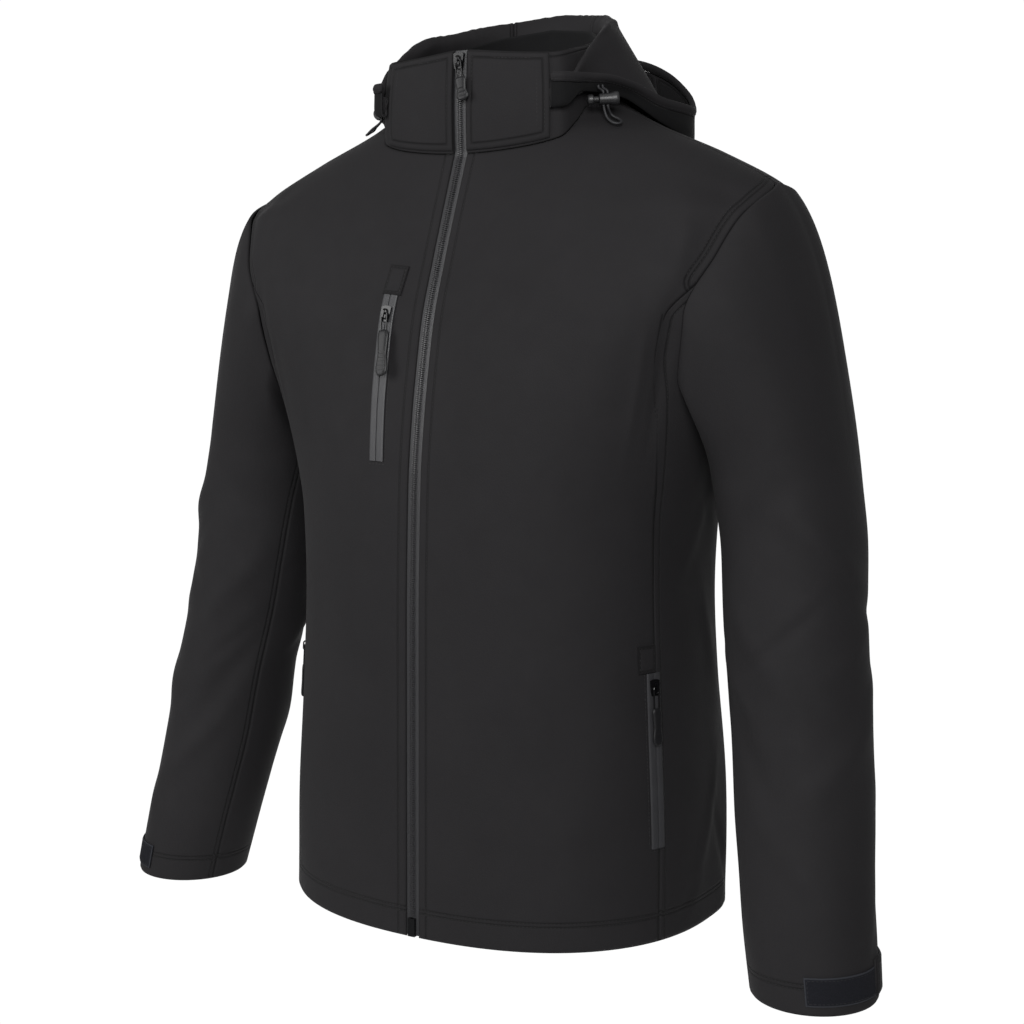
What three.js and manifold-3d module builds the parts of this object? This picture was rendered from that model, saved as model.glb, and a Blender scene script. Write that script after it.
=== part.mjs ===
// Men's zip-through softshell jacket, worn shape with no wearer: fronts, side panels and back,
// two-piece set-in sleeves, stand collar with stitched tabs, fold-down hood, moulded zips with
// rubber pullers, and hook-and-loop cuff tabs. Millimetres, +Z up, the fronts face -Y, and the
// wearer's left is +X. The origin lies between the two high points of the shoulders.
import * as THREE from "three";
import { mergeVertices } from "three/addons/utils/BufferGeometryUtils.js";
import Module from "manifold-3d";

// Driving dimensions
const CLOTH = 2; // bonded softshell
const COLLAR_WALL = 3; // outer collar, facing and their seam
const PATCH = 1.2; // a piece stitched flat on a panel
const GAP = 0.3; // between pieces that meet at a seam or lie on each other
const HEM_Z = -672;
const CUFF_Z = -688;
const ZIP_WIDTH = 11; // main zip between the two front edges
const POCKET_ZIP_WIDTH = 13.5;

// Level sections of the body: half width, depth at centre front and centre back, y of the side
// point, and how square the section is.
const BODY = [
  { z: 25, half: 50, front: 50, back: 50, side: 0, power: 2 },
  { z: 0, half: 95, front: 64, back: 64, side: 0, power: 2 },
  { z: -20, half: 129, front: 74, back: 70, side: 2, power: 2 },
  { z: -46, half: 189, front: 86, back: 82, side: 3, power: 2.05 },
  { z: -73, half: 240, front: 97, back: 93, side: 0, power: 2.15 },
  { z: -95, half: 262, front: 106, back: 102, side: -3, power: 2.3 },
  { z: -131, half: 264, front: 120, back: 113, side: -4, power: 2.4 },
  { z: -175, half: 243, front: 136, back: 119, side: -3, power: 2.4 },
  { z: -206, half: 228, front: 143, back: 122, side: -2, power: 2.35 },
  { z: -250, half: 207, front: 151, back: 125, side: 0, power: 2.3 },
  { z: -300, half: 188, front: 157, back: 126, side: 0, power: 2.3 },
  { z: -340, half: 179, front: 159, back: 127, side: 0, power: 2.32 },
  { z: -400, half: 176, front: 161, back: 128, side: 0, power: 2.32 },
  { z: -480, half: 180, front: 162, back: 129, side: 0, power: 2.32 },
  { z: -570, half: 186, front: 163, back: 130, side: 0, power: 2.32 },
  { z: HEM_Z, half: 190, front: 164, back: 131, side: 0, power: 2.32 },
];

// Armhole seam of the wearer's left side, round from the shoulder seam by the front: where it
// lies on the body, as a turn from centre front in degrees and a height.
const ARMHOLE = [
  { round: 0, turn: 88, z: -72 },
  { round: 30, turn: 78.5, z: -90 },
  { round: 60, turn: 71.5, z: -127 },
  { round: 90, turn: 66.3, z: -172 },
  { round: 120, turn: 66.8, z: -217 },
  { round: 150, turn: 76, z: -250 },
  { round: 180, turn: 92, z: -262 },
  { round: 210, turn: 109, z: -247 },
  { round: 240, turn: 117.5, z: -208 },
  { round: 270, turn: 117, z: -162 },
  { round: 300, turn: 111.5, z: -118 },
  { round: 330, turn: 101, z: -83 },
  { round: 360, turn: 88, z: -72 },
];
const ROUND_STEP = 15;
const FRONT_NOTCH = 75; // where the front panel seam meets the armhole
const BACK_NOTCH = 225;

// Seam between front and side panel, and between side panel and back, from the hem up.
const FRONT_SEAM = [
  { z: HEM_Z, turn: 67.5 },
  { z: -590, turn: 68.2 },
  { z: -430, turn: 68.5 },
  { z: -313, turn: 67 },
  { z: -238, turn: 63.8 },
  { z: -205, turn: 62.2 },
  { z: -176, turn: 62.8 },
];
const BACK_SEAM = [
  { z: HEM_Z, turn: 112 },
  { z: -430, turn: 113 },
  { z: -313, turn: 113 },
];
const SEAM_ROWS = 15;
const SEAM_CROWDING = 0.75; // rows crowd towards the chest

// Neck seam height by turn, and the shoulder seam, which runs just in front of the shoulder line.
const NECKLINE = [
  { turn: 0, z: -46 },
  { turn: 15, z: -45 },
  { turn: 32, z: -42 },
  { turn: 48, z: -35 },
  { turn: 57, z: -22 },
  { turn: 66, z: -9 },
  { turn: 76, z: -3 },
  { turn: 86, z: -0.5 },
  { turn: 110, z: 0 },
  { turn: 145, z: -2 },
  { turn: 180, z: -5 },
];
const NECK_POINT_TURN = 86;
const FRONT_NECK_COLUMNS = 7;
const SHOULDER_COLUMNS = 5;
const BACK_NECK_COLUMNS = 8;

// Level sections of the wearer's left sleeve below the armpit, on its lining side.
const SLEEVE = [
  { z: -300, x: 250.5, y: -3.5, wide: 53.5, deep: 67, power: 2.2 },
  { z: -350, x: 260, y: -10, wide: 54, deep: 60, power: 2.1 },
  { z: -400, x: 265, y: -18, wide: 54, deep: 57, power: 2 },
  { z: -450, x: 271, y: -25, wide: 53.5, deep: 55, power: 2 },
  { z: -500, x: 279, y: -34, wide: 52.5, deep: 54, power: 2 },
  { z: -555, x: 285.5, y: -43, wide: 52, deep: 53, power: 2 },
  { z: -600, x: 292, y: -53, wide: 50, deep: 51, power: 2 },
  { z: -640, x: 298.5, y: -62, wide: 49, deep: 50, power: 2 },
  { z: CUFF_Z, x: 306.5, y: -70, wide: 47, deep: 48, power: 2 },
];
const SLEEVE_TOP_Z = -300;
const CAP_ROWS = 7;
const ARM_ROWS = 10;
// How the sleeve cap leaves the armhole: outward, forward and upward parts and reach in mm, and
// how far the cap's pull reaches up from the first full section.
const CAP = [
  { round: 0, out: 0.72, ahead: 0, up: -0.69, reach: 52, hold: 100 },
  { round: 60, out: 0.46, ahead: 0.28, up: -0.84, reach: 38, hold: 76 },
  { round: 110, out: 0.36, ahead: 0.26, up: -0.9, reach: 28, hold: 38 },
  { round: 150, out: 0.6, ahead: 0.1, up: -0.8, reach: 16, hold: 18 },
  { round: 180, out: 0.62, ahead: 0, up: -0.78, reach: 12, hold: 14 },
  { round: 210, out: 0.6, ahead: -0.1, up: -0.8, reach: 16, hold: 18 },
  { round: 250, out: 0.36, ahead: -0.26, up: -0.9, reach: 28, hold: 38 },
  { round: 300, out: 0.46, ahead: -0.28, up: -0.84, reach: 38, hold: 76 },
  { round: 360, out: 0.72, ahead: 0, up: -0.69, reach: 52, hold: 100 },
];
const FRONT_ARM_SEAM = 150; // seams of the two-piece sleeve, round from the outside by the front
const BACK_ARM_SEAM = 240;

// The largest folds, as soft ridges: their place and slant, half length, half width, and height,
// which is below zero for a trough. On the body, by turn.
const BODY_FOLDS = [
  { turn: 60, z: -150, slant: 20, long: 70, wide: 16, rise: 3 },
  { turn: 108, z: -560, slant: 14, long: 90, wide: 16, rise: 3 },
  { turn: 118, z: -300, slant: -30, long: 80, wide: 18, rise: 3 },
  { turn: 150, z: -230, slant: 62, long: 90, wide: 22, rise: -3 },
  { turn: 145, z: -520, slant: 18, long: 110, wide: 26, rise: 3.5 },
  { turn: 175, z: -430, slant: 70, long: 100, wide: 20, rise: -3 },
  { turn: 30, z: -330, slant: 8, long: 120, wide: 34, rise: 1.5 },
];
// On the sleeve, by turn round it from the outside by the front.
const SLEEVE_FOLDS = [
  { turn: 40, z: -352, slant: 48, long: 34, wide: 11, rise: 3.2 },
  { turn: 96, z: -330, slant: -40, long: 36, wide: 11, rise: -3 },
  { turn: 100, z: -428, slant: 35, long: 40, wide: 12, rise: 2.6 },
  { turn: 30, z: -505, slant: -52, long: 44, wide: 13, rise: 2.4 },
  { turn: 120, z: -500, slant: 30, long: 42, wide: 12, rise: -2.6 },
  { turn: 76, z: -585, slant: 42, long: 40, wide: 12, rise: 2.4 },
  { turn: 250, z: -420, slant: -60, long: 44, wide: 12, rise: 3.6 },
  { turn: 262, z: -462, slant: 55, long: 42, wide: 12, rise: -3.2 },
  { turn: 210, z: -440, slant: 40, long: 38, wide: 12, rise: 3 },
  { turn: 235, z: -560, slant: -35, long: 46, wide: 13, rise: 2.6 },
];

// Collar: height of its top edge by turn, and how far it leans in from its base there.
const COLLAR_TOP = [
  { turn: 0, z: 36, draw: 0.985 },
  { turn: 45, z: 31, draw: 0.97 },
  { turn: 60, z: 36, draw: 0.935 },
  { turn: 75, z: 41, draw: 0.86 },
  { turn: 92, z: 47, draw: 0.8 },
  { turn: 110, z: 52, draw: 0.82 },
  { turn: 145, z: 64, draw: 0.96 },
  { turn: 180, z: 69, draw: 1.02 },
];
const COLLAR_ROWS = 4;
const TAB_TURN = 44.5;
const COLLAR_EDGE_TURN = 4.2;
const HOOD_TURN = 46.4; // the hood's two ends, at the tabs

// Fold-down hood, by turn round the neck: how far up the collar it is sewn on and how far off it,
// the fold that stands behind the collar, the bottom of the bag behind it, and the top edge of the
// hood's mouth, as distances from the neck's axis and heights, with the half thickness of the fold
// and of the bag. Near its ends the bag is drawn in under the mouth's hem.
const HOOD = [
  { turn: 45, up: 0.33, off: 1.4, foldR: 108.4, foldZ: 2, bagR: 110.6, bagZ: -12,
    rimR: 112.2, rimZ: 14.5, roll: 1.2, slack: 1.2 },
  { turn: 50, up: 0.33, off: 3.4, foldR: 112, foldZ: 4, bagR: 114.4, bagZ: -11,
    rimR: 116.2, rimZ: 14.5, roll: 1.5, slack: 1.5 },
  { turn: 60, up: 0.25, off: 3.6, foldR: 105.6, foldZ: 25, bagR: 108.5, bagZ: 2,
    rimR: 116, rimZ: 14.5, roll: 2, slack: 2 },
  { turn: 68, up: 0.2, off: 1.5, foldR: 98, foldZ: 37, bagR: 108, bagZ: 2,
    rimR: 119, rimZ: 14, roll: 2.5, slack: 2.5 },
  { turn: 80, up: 0.15, off: 2, foldR: 91, foldZ: 50, bagR: 114, bagZ: -1,
    rimR: 126, rimZ: 9, roll: 4, slack: 3 },
  { turn: 93, up: 0.1, off: 3, foldR: 86, foldZ: 60, bagR: 130, bagZ: -17,
    rimR: 139, rimZ: -2, roll: 5, slack: 4 },
  { turn: 109, up: 0.02, off: 3, foldR: 82, foldZ: 65, bagR: 144, bagZ: -33,
    rimR: 151, rimZ: -5, roll: 6, slack: 4 },
  { turn: 125, up: 0.02, off: 3, foldR: 81, foldZ: 71, bagR: 145, bagZ: -68,
    rimR: 149, rimZ: 11, roll: 6, slack: 6 },
  { turn: 141, up: 0.02, off: 3, foldR: 83, foldZ: 76, bagR: 150, bagZ: -108,
    rimR: 144, rimZ: 32, roll: 6, slack: 10 },
  { turn: 158, up: 0.02, off: 3, foldR: 87, foldZ: 80, bagR: 150, bagZ: -134,
    rimR: 142, rimZ: 47, roll: 6, slack: 13 },
  { turn: 180, up: 0.02, off: 3, foldR: 91, foldZ: 84, bagR: 149, bagZ: -144,
    rimR: 140, rimZ: 57, roll: 6, slack: 14 },
];
const HOOD_COLUMN = 10; // degrees
const HOOD_CENTRE_HALF = 30; // the centre panel's half turn behind the neck
const HOOD_PROFILE_STEPS = 15;
const RIM_HIGH = 8; // drawcord hem round the hood's mouth
const RIM_THICK = 4.4;
const BOX_TOP_Z = -656; // the zip's box at the hem

// Pocket zips, one on the wearer's right chest and one in each front seam: the strip's line by
// turn at its top and low end, and the patch above it, measured from the strip's middle.
const CHEST = {
  turn: -16.6, lowTurn: -13.3, top: -158, bottom: -289, garageLeft: 9.5, garageWide: 18, garageHigh: 23,
};
const HAND = {
  turn: 67.2, lowTurn: 67.4, top: -454, bottom: -595, garageLeft: 3, garageWide: 18, garageHigh: 22,
};
const OTHER_HAND = {
  ...HAND, turn: -HAND.turn, lowTurn: -HAND.lowTurn, garageLeft: HAND.garageWide - HAND.garageLeft,
};
// Pulls: pivot height, length of the wire link, the rubber puller's length and width, and how far
// it leans towards the wearer's left in degrees.
const PULLS = [
  { name: "main", z: 26, linkLong: 17, long: 19, wide: 11, lean: 12 },
  { name: "chest", z: -174, linkLong: 17, long: 38, wide: 11, lean: 11, pocket: CHEST },
  { name: "hand_left", z: -466, linkLong: 20, long: 30, wide: 10, lean: 0, pocket: HAND },
  { name: "hand_right", z: -466, linkLong: 20, long: 30, wide: 10, lean: 0, pocket: OTHER_HAND },
];

// Cuff tab and loop patch on the left cuff: round from the outside by the front, and height above
// the cuff's edge.
const LOOP_PATCH = { from: 2, to: 76, low: 7, high: 28 };
const CUFF_TAB = { from: -116, to: 0, low: 6, high: 32 };

// Drawcords at the hood's mouth, by turn round the neck, distance from its axis and height: each
// comes out under the mouth's hem, runs through its lock and hangs in a loop on the front. The
// wearer's right one lies closer to the collar.
const CORD = 2;
const CORDS = {
  left: {
    mouth: 66.5,
    knob: { turn: 60.9, r: 112.2, z: -6.2 },
    hole: { turn: 67.3, r: 119, z: -5.2 },
    end: { turn: 71.4, r: 124.3, z: -4.6 },
    loop: { turn: 69.5, z: -25 },
  },
  right: {
    mouth: 68,
    knob: { turn: 62, r: 109.4, z: -6.4 },
    hole: { turn: 68.5, r: 113.6, z: -5.6 },
    end: { turn: 72.8, r: 117.2, z: -5.2 },
    loop: { turn: 75, z: -23 },
  },
};
const LOOP = { lift: 3.4, radius: 4, strands: 3.4 };
// The lock's barrel and its sprung plunger: radius along their shared axis.
const BARREL = [[0, 0], [4, 0], [4.3, 1], [4.6, 9], [5.6, 13], [5.6, 15], [4.4, 16], [0, 16]];
const PLUNGER = [[0, 0], [2.6, 0.3], [4, 1.8], [4, 4.6], [2.4, 5.6], [2.4, 9.2], [0, 9.2]];
const HOLE_ALONG = 5.5; // from the barrel's face to the cord
const BARREL_DEEP = 6; // from the axis to where the cord is clear of the barrel

const rad = (degrees) => (degrees * Math.PI) / 180;
const lerp = (a, b, t) => a + (b - a) * t;
const vec = (x, y, z) => new THREE.Vector3(x, y, z);
const steps = (from, to, count) =>
  Array.from({ length: count + 1 }, (_, i) => lerp(from, to, i / count));

// A table's column at a place between its rows, on a smooth curve that never overshoots them.
function read(rows, by, column, at) {
  const up = rows[rows.length - 1][by] > rows[0][by] ? 1 : -1;
  const last = rows.length - 2;
  let i = 0;
  while (i < last && (at - rows[i + 1][by]) * up > 0) i++;
  const slope = (j) => (rows[j + 1][column] - rows[j][column]) / (rows[j + 1][by] - rows[j][by]);
  const tangent = (j) => {
    if (j === 0) return slope(0);
    if (j === rows.length - 1) return slope(j - 1);
    const before = slope(j - 1);
    const after = slope(j);
    return before * after <= 0 ? 0 : (2 * before * after) / (before + after);
  };
  const h = rows[i + 1][by] - rows[i][by];
  const t = THREE.MathUtils.clamp((at - rows[i][by]) / h, 0, 1);
  const t2 = t * t;
  const t3 = t2 * t;
  return (
    (2 * t3 - 3 * t2 + 1) * rows[i][column] +
    (t3 - 2 * t2 + t) * h * tangent(i) +
    (3 * t2 - 2 * t3) * rows[i + 1][column] +
    (t3 - t2) * h * tangent(i + 1)
  );
}

// A closed section's point: half widths either side, its centre and squareness, by turn.
function sectionPoint(turn, wide, ahead, behind, power, cx, cy, z) {
  const s = Math.sin(rad(turn));
  const c = Math.cos(rad(turn));
  const deep = c > 0 ? ahead : behind;
  const r = ((Math.abs(s) / wide) ** power + (Math.abs(c) / deep) ** power) ** (-1 / power);
  return vec(cx + r * s, cy - r * c, z);
}

// Height of the folds at a place on a tube, in mm; around is the tube's mm per degree there.
function foldHeight(folds, turn, z, around) {
  let height = 0;
  for (const f of folds) {
    const across = (((turn - f.turn + 540) % 360) - 180) * around;
    const along = z - f.z;
    const s = Math.sin(rad(f.slant));
    const c = Math.cos(rad(f.slant));
    const u = (along * c + across * s) / f.long;
    const v = (across * c - along * s) / f.wide;
    if (Math.abs(u) < 2) height += f.rise * Math.exp(-v * v) * Math.cos((u * Math.PI) / 4) ** 2;
  }
  return height;
}

// The body's outer surface, mirrored folds on the wearer's right, moved out along its normal.
const BODY_MM_PER_DEGREE = 2.9;
function bodyBase(turn, z) {
  const at = (column) => read(BODY, "z", column, z);
  const side = at("side");
  return sectionPoint(turn, at("half"), at("front") + side, at("back") - side, at("power"), 0, side, z);
}
function bodyNormal(turn, z) {
  const across = bodyBase(turn + 0.5, z).sub(bodyBase(turn - 0.5, z));
  const up = bodyBase(turn, z + 1).sub(bodyBase(turn, z - 1));
  return across.cross(up).normalize();
}
function body(turn, z, out = 0) {
  const folded = Math.abs(((turn + 540) % 360) - 180);
  const reach = out + foldHeight(BODY_FOLDS, folded, z, BODY_MM_PER_DEGREE);
  return bodyBase(turn, z).addScaledVector(bodyNormal(turn, z), reach);
}

// Closed wall between two grids of points with the same rows and columns.
function wall(outer, inner) {
  const rows = outer.length;
  const columns = outer[0].length;
  const positions = [...outer, ...inner].flatMap((row) => row.flatMap((p) => [p.x, p.y, p.z]));
  const index = [];
  const id = (side, i, j) => side * rows * columns + i * columns + j;
  const quad = (a, b, c, d) => index.push(a, b, c, a, c, d);
  const low = rows - 1;
  const far = columns - 1;
  for (let i = 0; i < low; i++)
    for (let j = 0; j < far; j++) {
      quad(id(0, i, j), id(0, i, j + 1), id(0, i + 1, j + 1), id(0, i + 1, j));
      quad(id(1, i, j), id(1, i + 1, j), id(1, i + 1, j + 1), id(1, i, j + 1));
    }
  for (let j = 0; j < far; j++) {
    quad(id(0, 0, j), id(1, 0, j), id(1, 0, j + 1), id(0, 0, j + 1));
    quad(id(0, low, j), id(0, low, j + 1), id(1, low, j + 1), id(1, low, j));
  }
  for (let i = 0; i < low; i++) {
    quad(id(0, i, 0), id(0, i + 1, 0), id(1, i + 1, 0), id(1, i, 0));
    quad(id(0, i, far), id(1, i, far), id(1, i + 1, far), id(0, i + 1, far));
  }
  const geometry = new THREE.BufferGeometry();
  geometry.setAttribute("position", new THREE.Float32BufferAttribute(positions, 3));
  geometry.setIndex(index);
  return faceOut(geometry);
}

// Turns a closed geometry's faces out if they point in.
function faceOut(geometry) {
  const p = geometry.attributes.position;
  const index = geometry.index.array;
  const a = vec(0, 0, 0);
  const b = vec(0, 0, 0);
  const c = vec(0, 0, 0);
  let volume = 0;
  for (let i = 0; i < index.length; i += 3) {
    a.fromBufferAttribute(p, index[i]);
    b.fromBufferAttribute(p, index[i + 1]);
    c.fromBufferAttribute(p, index[i + 2]);
    volume += a.dot(b.clone().cross(c));
  }
  if (volume < 0)
    for (let i = 0; i < index.length; i += 3) {
      const second = index[i + 1];
      index[i + 1] = index[i + 2];
      index[i + 2] = second;
    }
  geometry.computeVertexNormals();
  return geometry;
}

const mirrored = (geometry) => {
  const copy = geometry.clone().scale(-1, 1, 1);
  return faceOut(copy);
};

// Panel patterns: each edge is a list of places on the body, and the inside is blended from them.
const place = (turn, z) => ({ turn, z });
const blend = (a, b, t) => place(lerp(a.turn, b.turn, t), lerp(a.z, b.z, t));
function fill(left, right, bottom, top) {
  const rows = left.length - 1;
  const columns = bottom.length - 1;
  return left.map((_, i) =>
    bottom.map((_, j) => {
      const u = j / columns;
      const v = i / rows;
      const sides = blend(left[i], right[i], u);
      const ends = blend(bottom[j], top[j], v);
      const corners = blend(blend(bottom[0], bottom[columns], u), blend(top[0], top[columns], u), v);
      return place(sides.turn + ends.turn - corners.turn, sides.z + ends.z - corners.z);
    }),
  );
}
// Draws a pattern's rim in by half a seam gap.
function drawIn(grid) {
  const rows = grid.length - 1;
  const columns = grid[0].length - 1;
  const at = (i, j) => bodyBase(grid[i][j].turn, grid[i][j].z);
  const towards = (i, j, m, n) => {
    const t = (GAP * 0.75) / Math.max(at(i, j).distanceTo(at(m, n)), 1);
    return blend(grid[i][j], grid[m][n], t);
  };
  return grid.map((row, i) =>
    row.map((cell, j) => {
      const m = i === 0 ? 1 : i === rows ? rows - 1 : i;
      const n = j === 0 ? 1 : j === columns ? columns - 1 : j;
      return m === i && n === j ? cell : towards(i, j, m, n);
    }),
  );
}
function panel(grid) {
  const cut = drawIn(grid);
  const outer = cut.map((row) => row.map((c) => body(c.turn, c.z)));
  const inner = cut.map((row) => row.map((c) => body(c.turn, c.z, -CLOTH)));
  return wall(outer, inner);
}

const armholePlace = (round) => {
  const r = ((round % 360) + 360) % 360;
  return place(read(ARMHOLE, "round", "turn", r), read(ARMHOLE, "round", "z", r));
};
function armholeRun(from, to) {
  const steps = Math.round(Math.abs(to - from) / ROUND_STEP);
  return Array.from({ length: steps + 1 }, (_, i) => armholePlace(lerp(from, to, i / steps)));
}
// A seam from the hem up to its notch on the armhole.
function bodySeam(rows, notch) {
  const end = armholePlace(notch);
  const table = [...rows, { z: end.z, turn: end.turn }];
  return Array.from({ length: SEAM_ROWS + 1 }, (_, i) => {
    const z = lerp(HEM_Z, end.z, (i / SEAM_ROWS) ** SEAM_CROWDING);
    return place(read(table, "z", "turn", z), z);
  });
}
const neckZ = (turn) => read(NECKLINE, "turn", "z", Math.abs(((turn + 540) % 360) - 180));
const zipTurn = (z) => (Math.atan2(ZIP_WIDTH / 2 + GAP, read(BODY, "z", "front", z)) * 180) / Math.PI;

const frontSeam = bodySeam(FRONT_SEAM, FRONT_NOTCH);
const backSeam = bodySeam(BACK_SEAM, BACK_NOTCH);
const shoulderTip = armholePlace(0);
const shoulderSeam = Array.from({ length: SHOULDER_COLUMNS + 1 }, (_, i) =>
  blend(place(NECK_POINT_TURN, neckZ(NECK_POINT_TURN)), shoulderTip, i / SHOULDER_COLUMNS),
);
const hemRun = (from, to, columns) =>
  Array.from({ length: columns + 1 }, (_, j) => place(lerp(from, to, j / columns), HEM_Z));

function frontPanel() {
  const right = [...frontSeam, ...armholeRun(FRONT_NOTCH, 0).slice(1)];
  const neckEdge = zipTurn(-46);
  const neckZAtZip = neckZ(neckEdge);
  const left = right.map((_, i) => {
    const z = lerp(HEM_Z, neckZAtZip, (i / (right.length - 1)) ** 0.95);
    return place(zipTurn(z), z);
  });
  const neck = Array.from({ length: FRONT_NECK_COLUMNS + 1 }, (_, j) => {
    const turn = lerp(neckEdge, NECK_POINT_TURN, j / FRONT_NECK_COLUMNS);
    return place(turn, neckZ(turn));
  });
  const top = [...neck, ...shoulderSeam.slice(1)];
  return panel(fill(left, right, hemRun(left[0].turn, right[0].turn, top.length - 1), top));
}
function sidePanel() {
  const top = armholeRun(FRONT_NOTCH, BACK_NOTCH);
  return panel(fill(frontSeam, backSeam, hemRun(frontSeam[0].turn, backSeam[0].turn, top.length - 1), top));
}
function backPanel() {
  const across = (p) => place(360 - p.turn, p.z);
  const left = [...backSeam, ...armholeRun(BACK_NOTCH, 360).slice(1)];
  const right = left.map(across);
  const neck = Array.from({ length: BACK_NECK_COLUMNS + 1 }, (_, j) => {
    const turn = lerp(NECK_POINT_TURN, 360 - NECK_POINT_TURN, j / BACK_NECK_COLUMNS);
    return place(turn, neckZ(turn));
  });
  const top = [...shoulderSeam.slice().reverse(), ...neck.slice(1), ...shoulderSeam.slice(1).map(across)];
  return panel(fill(left, right, hemRun(left[0].turn, right[0].turn, top.length - 1), top));
}

// Sleeve of the wearer's left arm. Its cap springs from the armhole and settles into the first
// full section; below that the sections follow the hanging arm's line.
function sleeveSection(round, z) {
  const at = (column) => read(SLEEVE, "z", column, z);
  const x = at("x");
  const y = at("y");
  // Round is 0 on the outside and 90 at the front.
  return sectionPoint(90 - round, at("wide"), at("deep"), at("deep"), at("power"), x, y, z);
}
const SLEEVE_MM_PER_DEGREE = 0.95;
function sleevePoint(round, along) {
  if (along >= 1) {
    const z = lerp(SLEEVE_TOP_Z, CUFF_Z, along - 1);
    return sleeveSection(round, z);
  }
  const cap = (column) => read(CAP, "round", column, ((round % 360) + 360) % 360);
  const seam = armholePlace(round);
  const start = body(seam.turn, seam.z, GAP * 1.5);
  const leave = vec(cap("out"), -cap("ahead"), cap("up")).normalize();
  start.addScaledVector(leave, GAP * 2.5);
  const end = sleeveSection(round, SLEEVE_TOP_Z);
  const rise = end.clone().sub(sleeveSection(round, SLEEVE_TOP_Z - 10)).normalize();
  const curve = new THREE.CubicBezierCurve3(
    start,
    start.clone().addScaledVector(leave, cap("reach")),
    end.clone().addScaledVector(rise, cap("hold")),
    end,
  );
  return curve.getPoint(along);
}
function sleeveNormal(round, along) {
  const across = sleevePoint(round + 1, along).sub(sleevePoint(round - 1, along));
  const low = Math.max(along - 0.01, 0);
  const down = sleevePoint(round, along + 0.01).sub(sleevePoint(round, low));
  return across.cross(down).normalize();
}
function sleeve(round, along, out = 0) {
  const p = sleevePoint(round, along);
  const fade = THREE.MathUtils.smoothstep(along, 0.1, 0.6);
  const reach = CLOTH + out + fade * foldHeight(SLEEVE_FOLDS, round, p.z, SLEEVE_MM_PER_DEGREE);
  return p.addScaledVector(sleeveNormal(round, along), reach);
}
const sleeveRows = [
  ...Array.from({ length: CAP_ROWS }, (_, i) => i / CAP_ROWS),
  ...Array.from({ length: ARM_ROWS + 1 }, (_, i) => 1 + i / ARM_ROWS),
];
function sleevePiece(from, to) {
  const columns = Math.round((to - from) / ROUND_STEP);
  const edge = GAP * 0.75; // degrees, about the same in mm on a sleeve
  const rounds = steps(from + edge, to - edge, columns);
  const grid = (out) => sleeveRows.map((along) => rounds.map((round) => sleeve(round, along, out)));
  return wall(grid(0), grid(-CLOTH));
}

// Collar: a standing band on the neck seam.
function collarPoint(turn, up, out = 0) {
  const at = (t) => {
    const base = bodyBase(t, neckZ(t));
    const folded = Math.abs(((t + 540) % 360) - 180);
    const z = read(COLLAR_TOP, "turn", "z", folded);
    const draw = lerp(1, read(COLLAR_TOP, "turn", "draw", folded), up);
    const belly = 1 + 0.02 * Math.sin(Math.PI * up);
    return vec(base.x * draw * belly, base.y * draw * belly, lerp(base.z + GAP * 1.5, z, up));
  };
  const p = at(turn);
  const across = at(turn + 1).sub(at(turn - 1));
  return p.addScaledVector(vec(across.y, -across.x, 0).normalize(), out);
}
function collarBand(from, to, columns, inside, outside, low, high) {
  const grid = (out) =>
    Array.from({ length: COLLAR_ROWS + 1 }, (_, i) =>
      Array.from({ length: columns + 1 }, (_, j) =>
        collarPoint(lerp(from, to, j / columns), lerp(low, high, i / COLLAR_ROWS), out),
      ),
    );
  return wall(grid(outside), grid(inside));
}

// Hood, as profiles round the neck that run from the collar's base over the fold, down into the
// bag and up to the edge of the mouth.
function hoodProfile(turn) {
  const folded = Math.abs(((turn + 540) % 360) - 180);
  const at = (column) => read(HOOD, "turn", column, folded);
  const foot = collarPoint(turn, at("up"), CLOTH);
  const base = { r: Math.hypot(foot.x, foot.y) + at("off"), z: foot.z + at("off") };
  const fold = { r: at("foldR"), z: at("foldZ") };
  const bag = { r: at("bagR"), z: at("bagZ") };
  const roll = at("roll");
  const slack = at("slack");
  const lip = { r: at("rimR") - bag.r - slack, z: at("rimZ") - bag.z - slack };
  const share = 1 - (RIM_HIGH + GAP) / Math.hypot(lip.r, lip.z);
  const rim = { r: bag.r + slack + lip.r * share, z: bag.z + slack + lip.z * share };
  const corner = [
    base,
    { r: lerp(base.r, fold.r - roll, 0.5), z: lerp(base.z, fold.z, 0.5) },
    { r: fold.r - roll, z: fold.z - roll },
    fold,
    { r: fold.r + roll, z: fold.z - roll * 1.2 },
    { r: lerp(fold.r + roll, bag.r - slack, 0.5), z: lerp(fold.z, bag.z, 0.5) },
    { r: bag.r - slack, z: bag.z + slack },
    bag,
    { r: bag.r + slack, z: bag.z + slack },
    rim,
  ];
  const s = Math.sin(rad(turn));
  const c = Math.cos(rad(turn));
  const points = corner.map((q) => vec(q.r * s, -q.r * c, q.z));
  return new THREE.CatmullRomCurve3(points, false, "centripetal");
}
function hoodTurns(from, to) {
  const turns = [from];
  for (let t = Math.floor(from / HOOD_COLUMN + 1) * HOOD_COLUMN; t < to - 1; t += HOOD_COLUMN) {
    if (t > from + 1) turns.push(t);
  }
  return [...turns, to];
}
function hoodPanel(from, to) {
  const outer = [];
  const inner = [];
  for (const turn of hoodTurns(from, to)) {
    const curve = hoodProfile(turn);
    const points = curve.getPoints(HOOD_PROFILE_STEPS);
    const round = vec(Math.cos(rad(turn)), Math.sin(rad(turn)), 0);
    const normals = points.map((_, i) => {
      const a = points[Math.max(i - 1, 0)];
      const b = points[Math.min(i + 1, points.length - 1)];
      return b.clone().sub(a).cross(round).normalize();
    });
    outer.push(points.map((p, i) => p.clone().addScaledVector(normals[i], CLOTH / 2)));
    inner.push(points.map((p, i) => p.clone().addScaledVector(normals[i], -CLOTH / 2)));
  }
  return wall(outer, inner);
}

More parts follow.
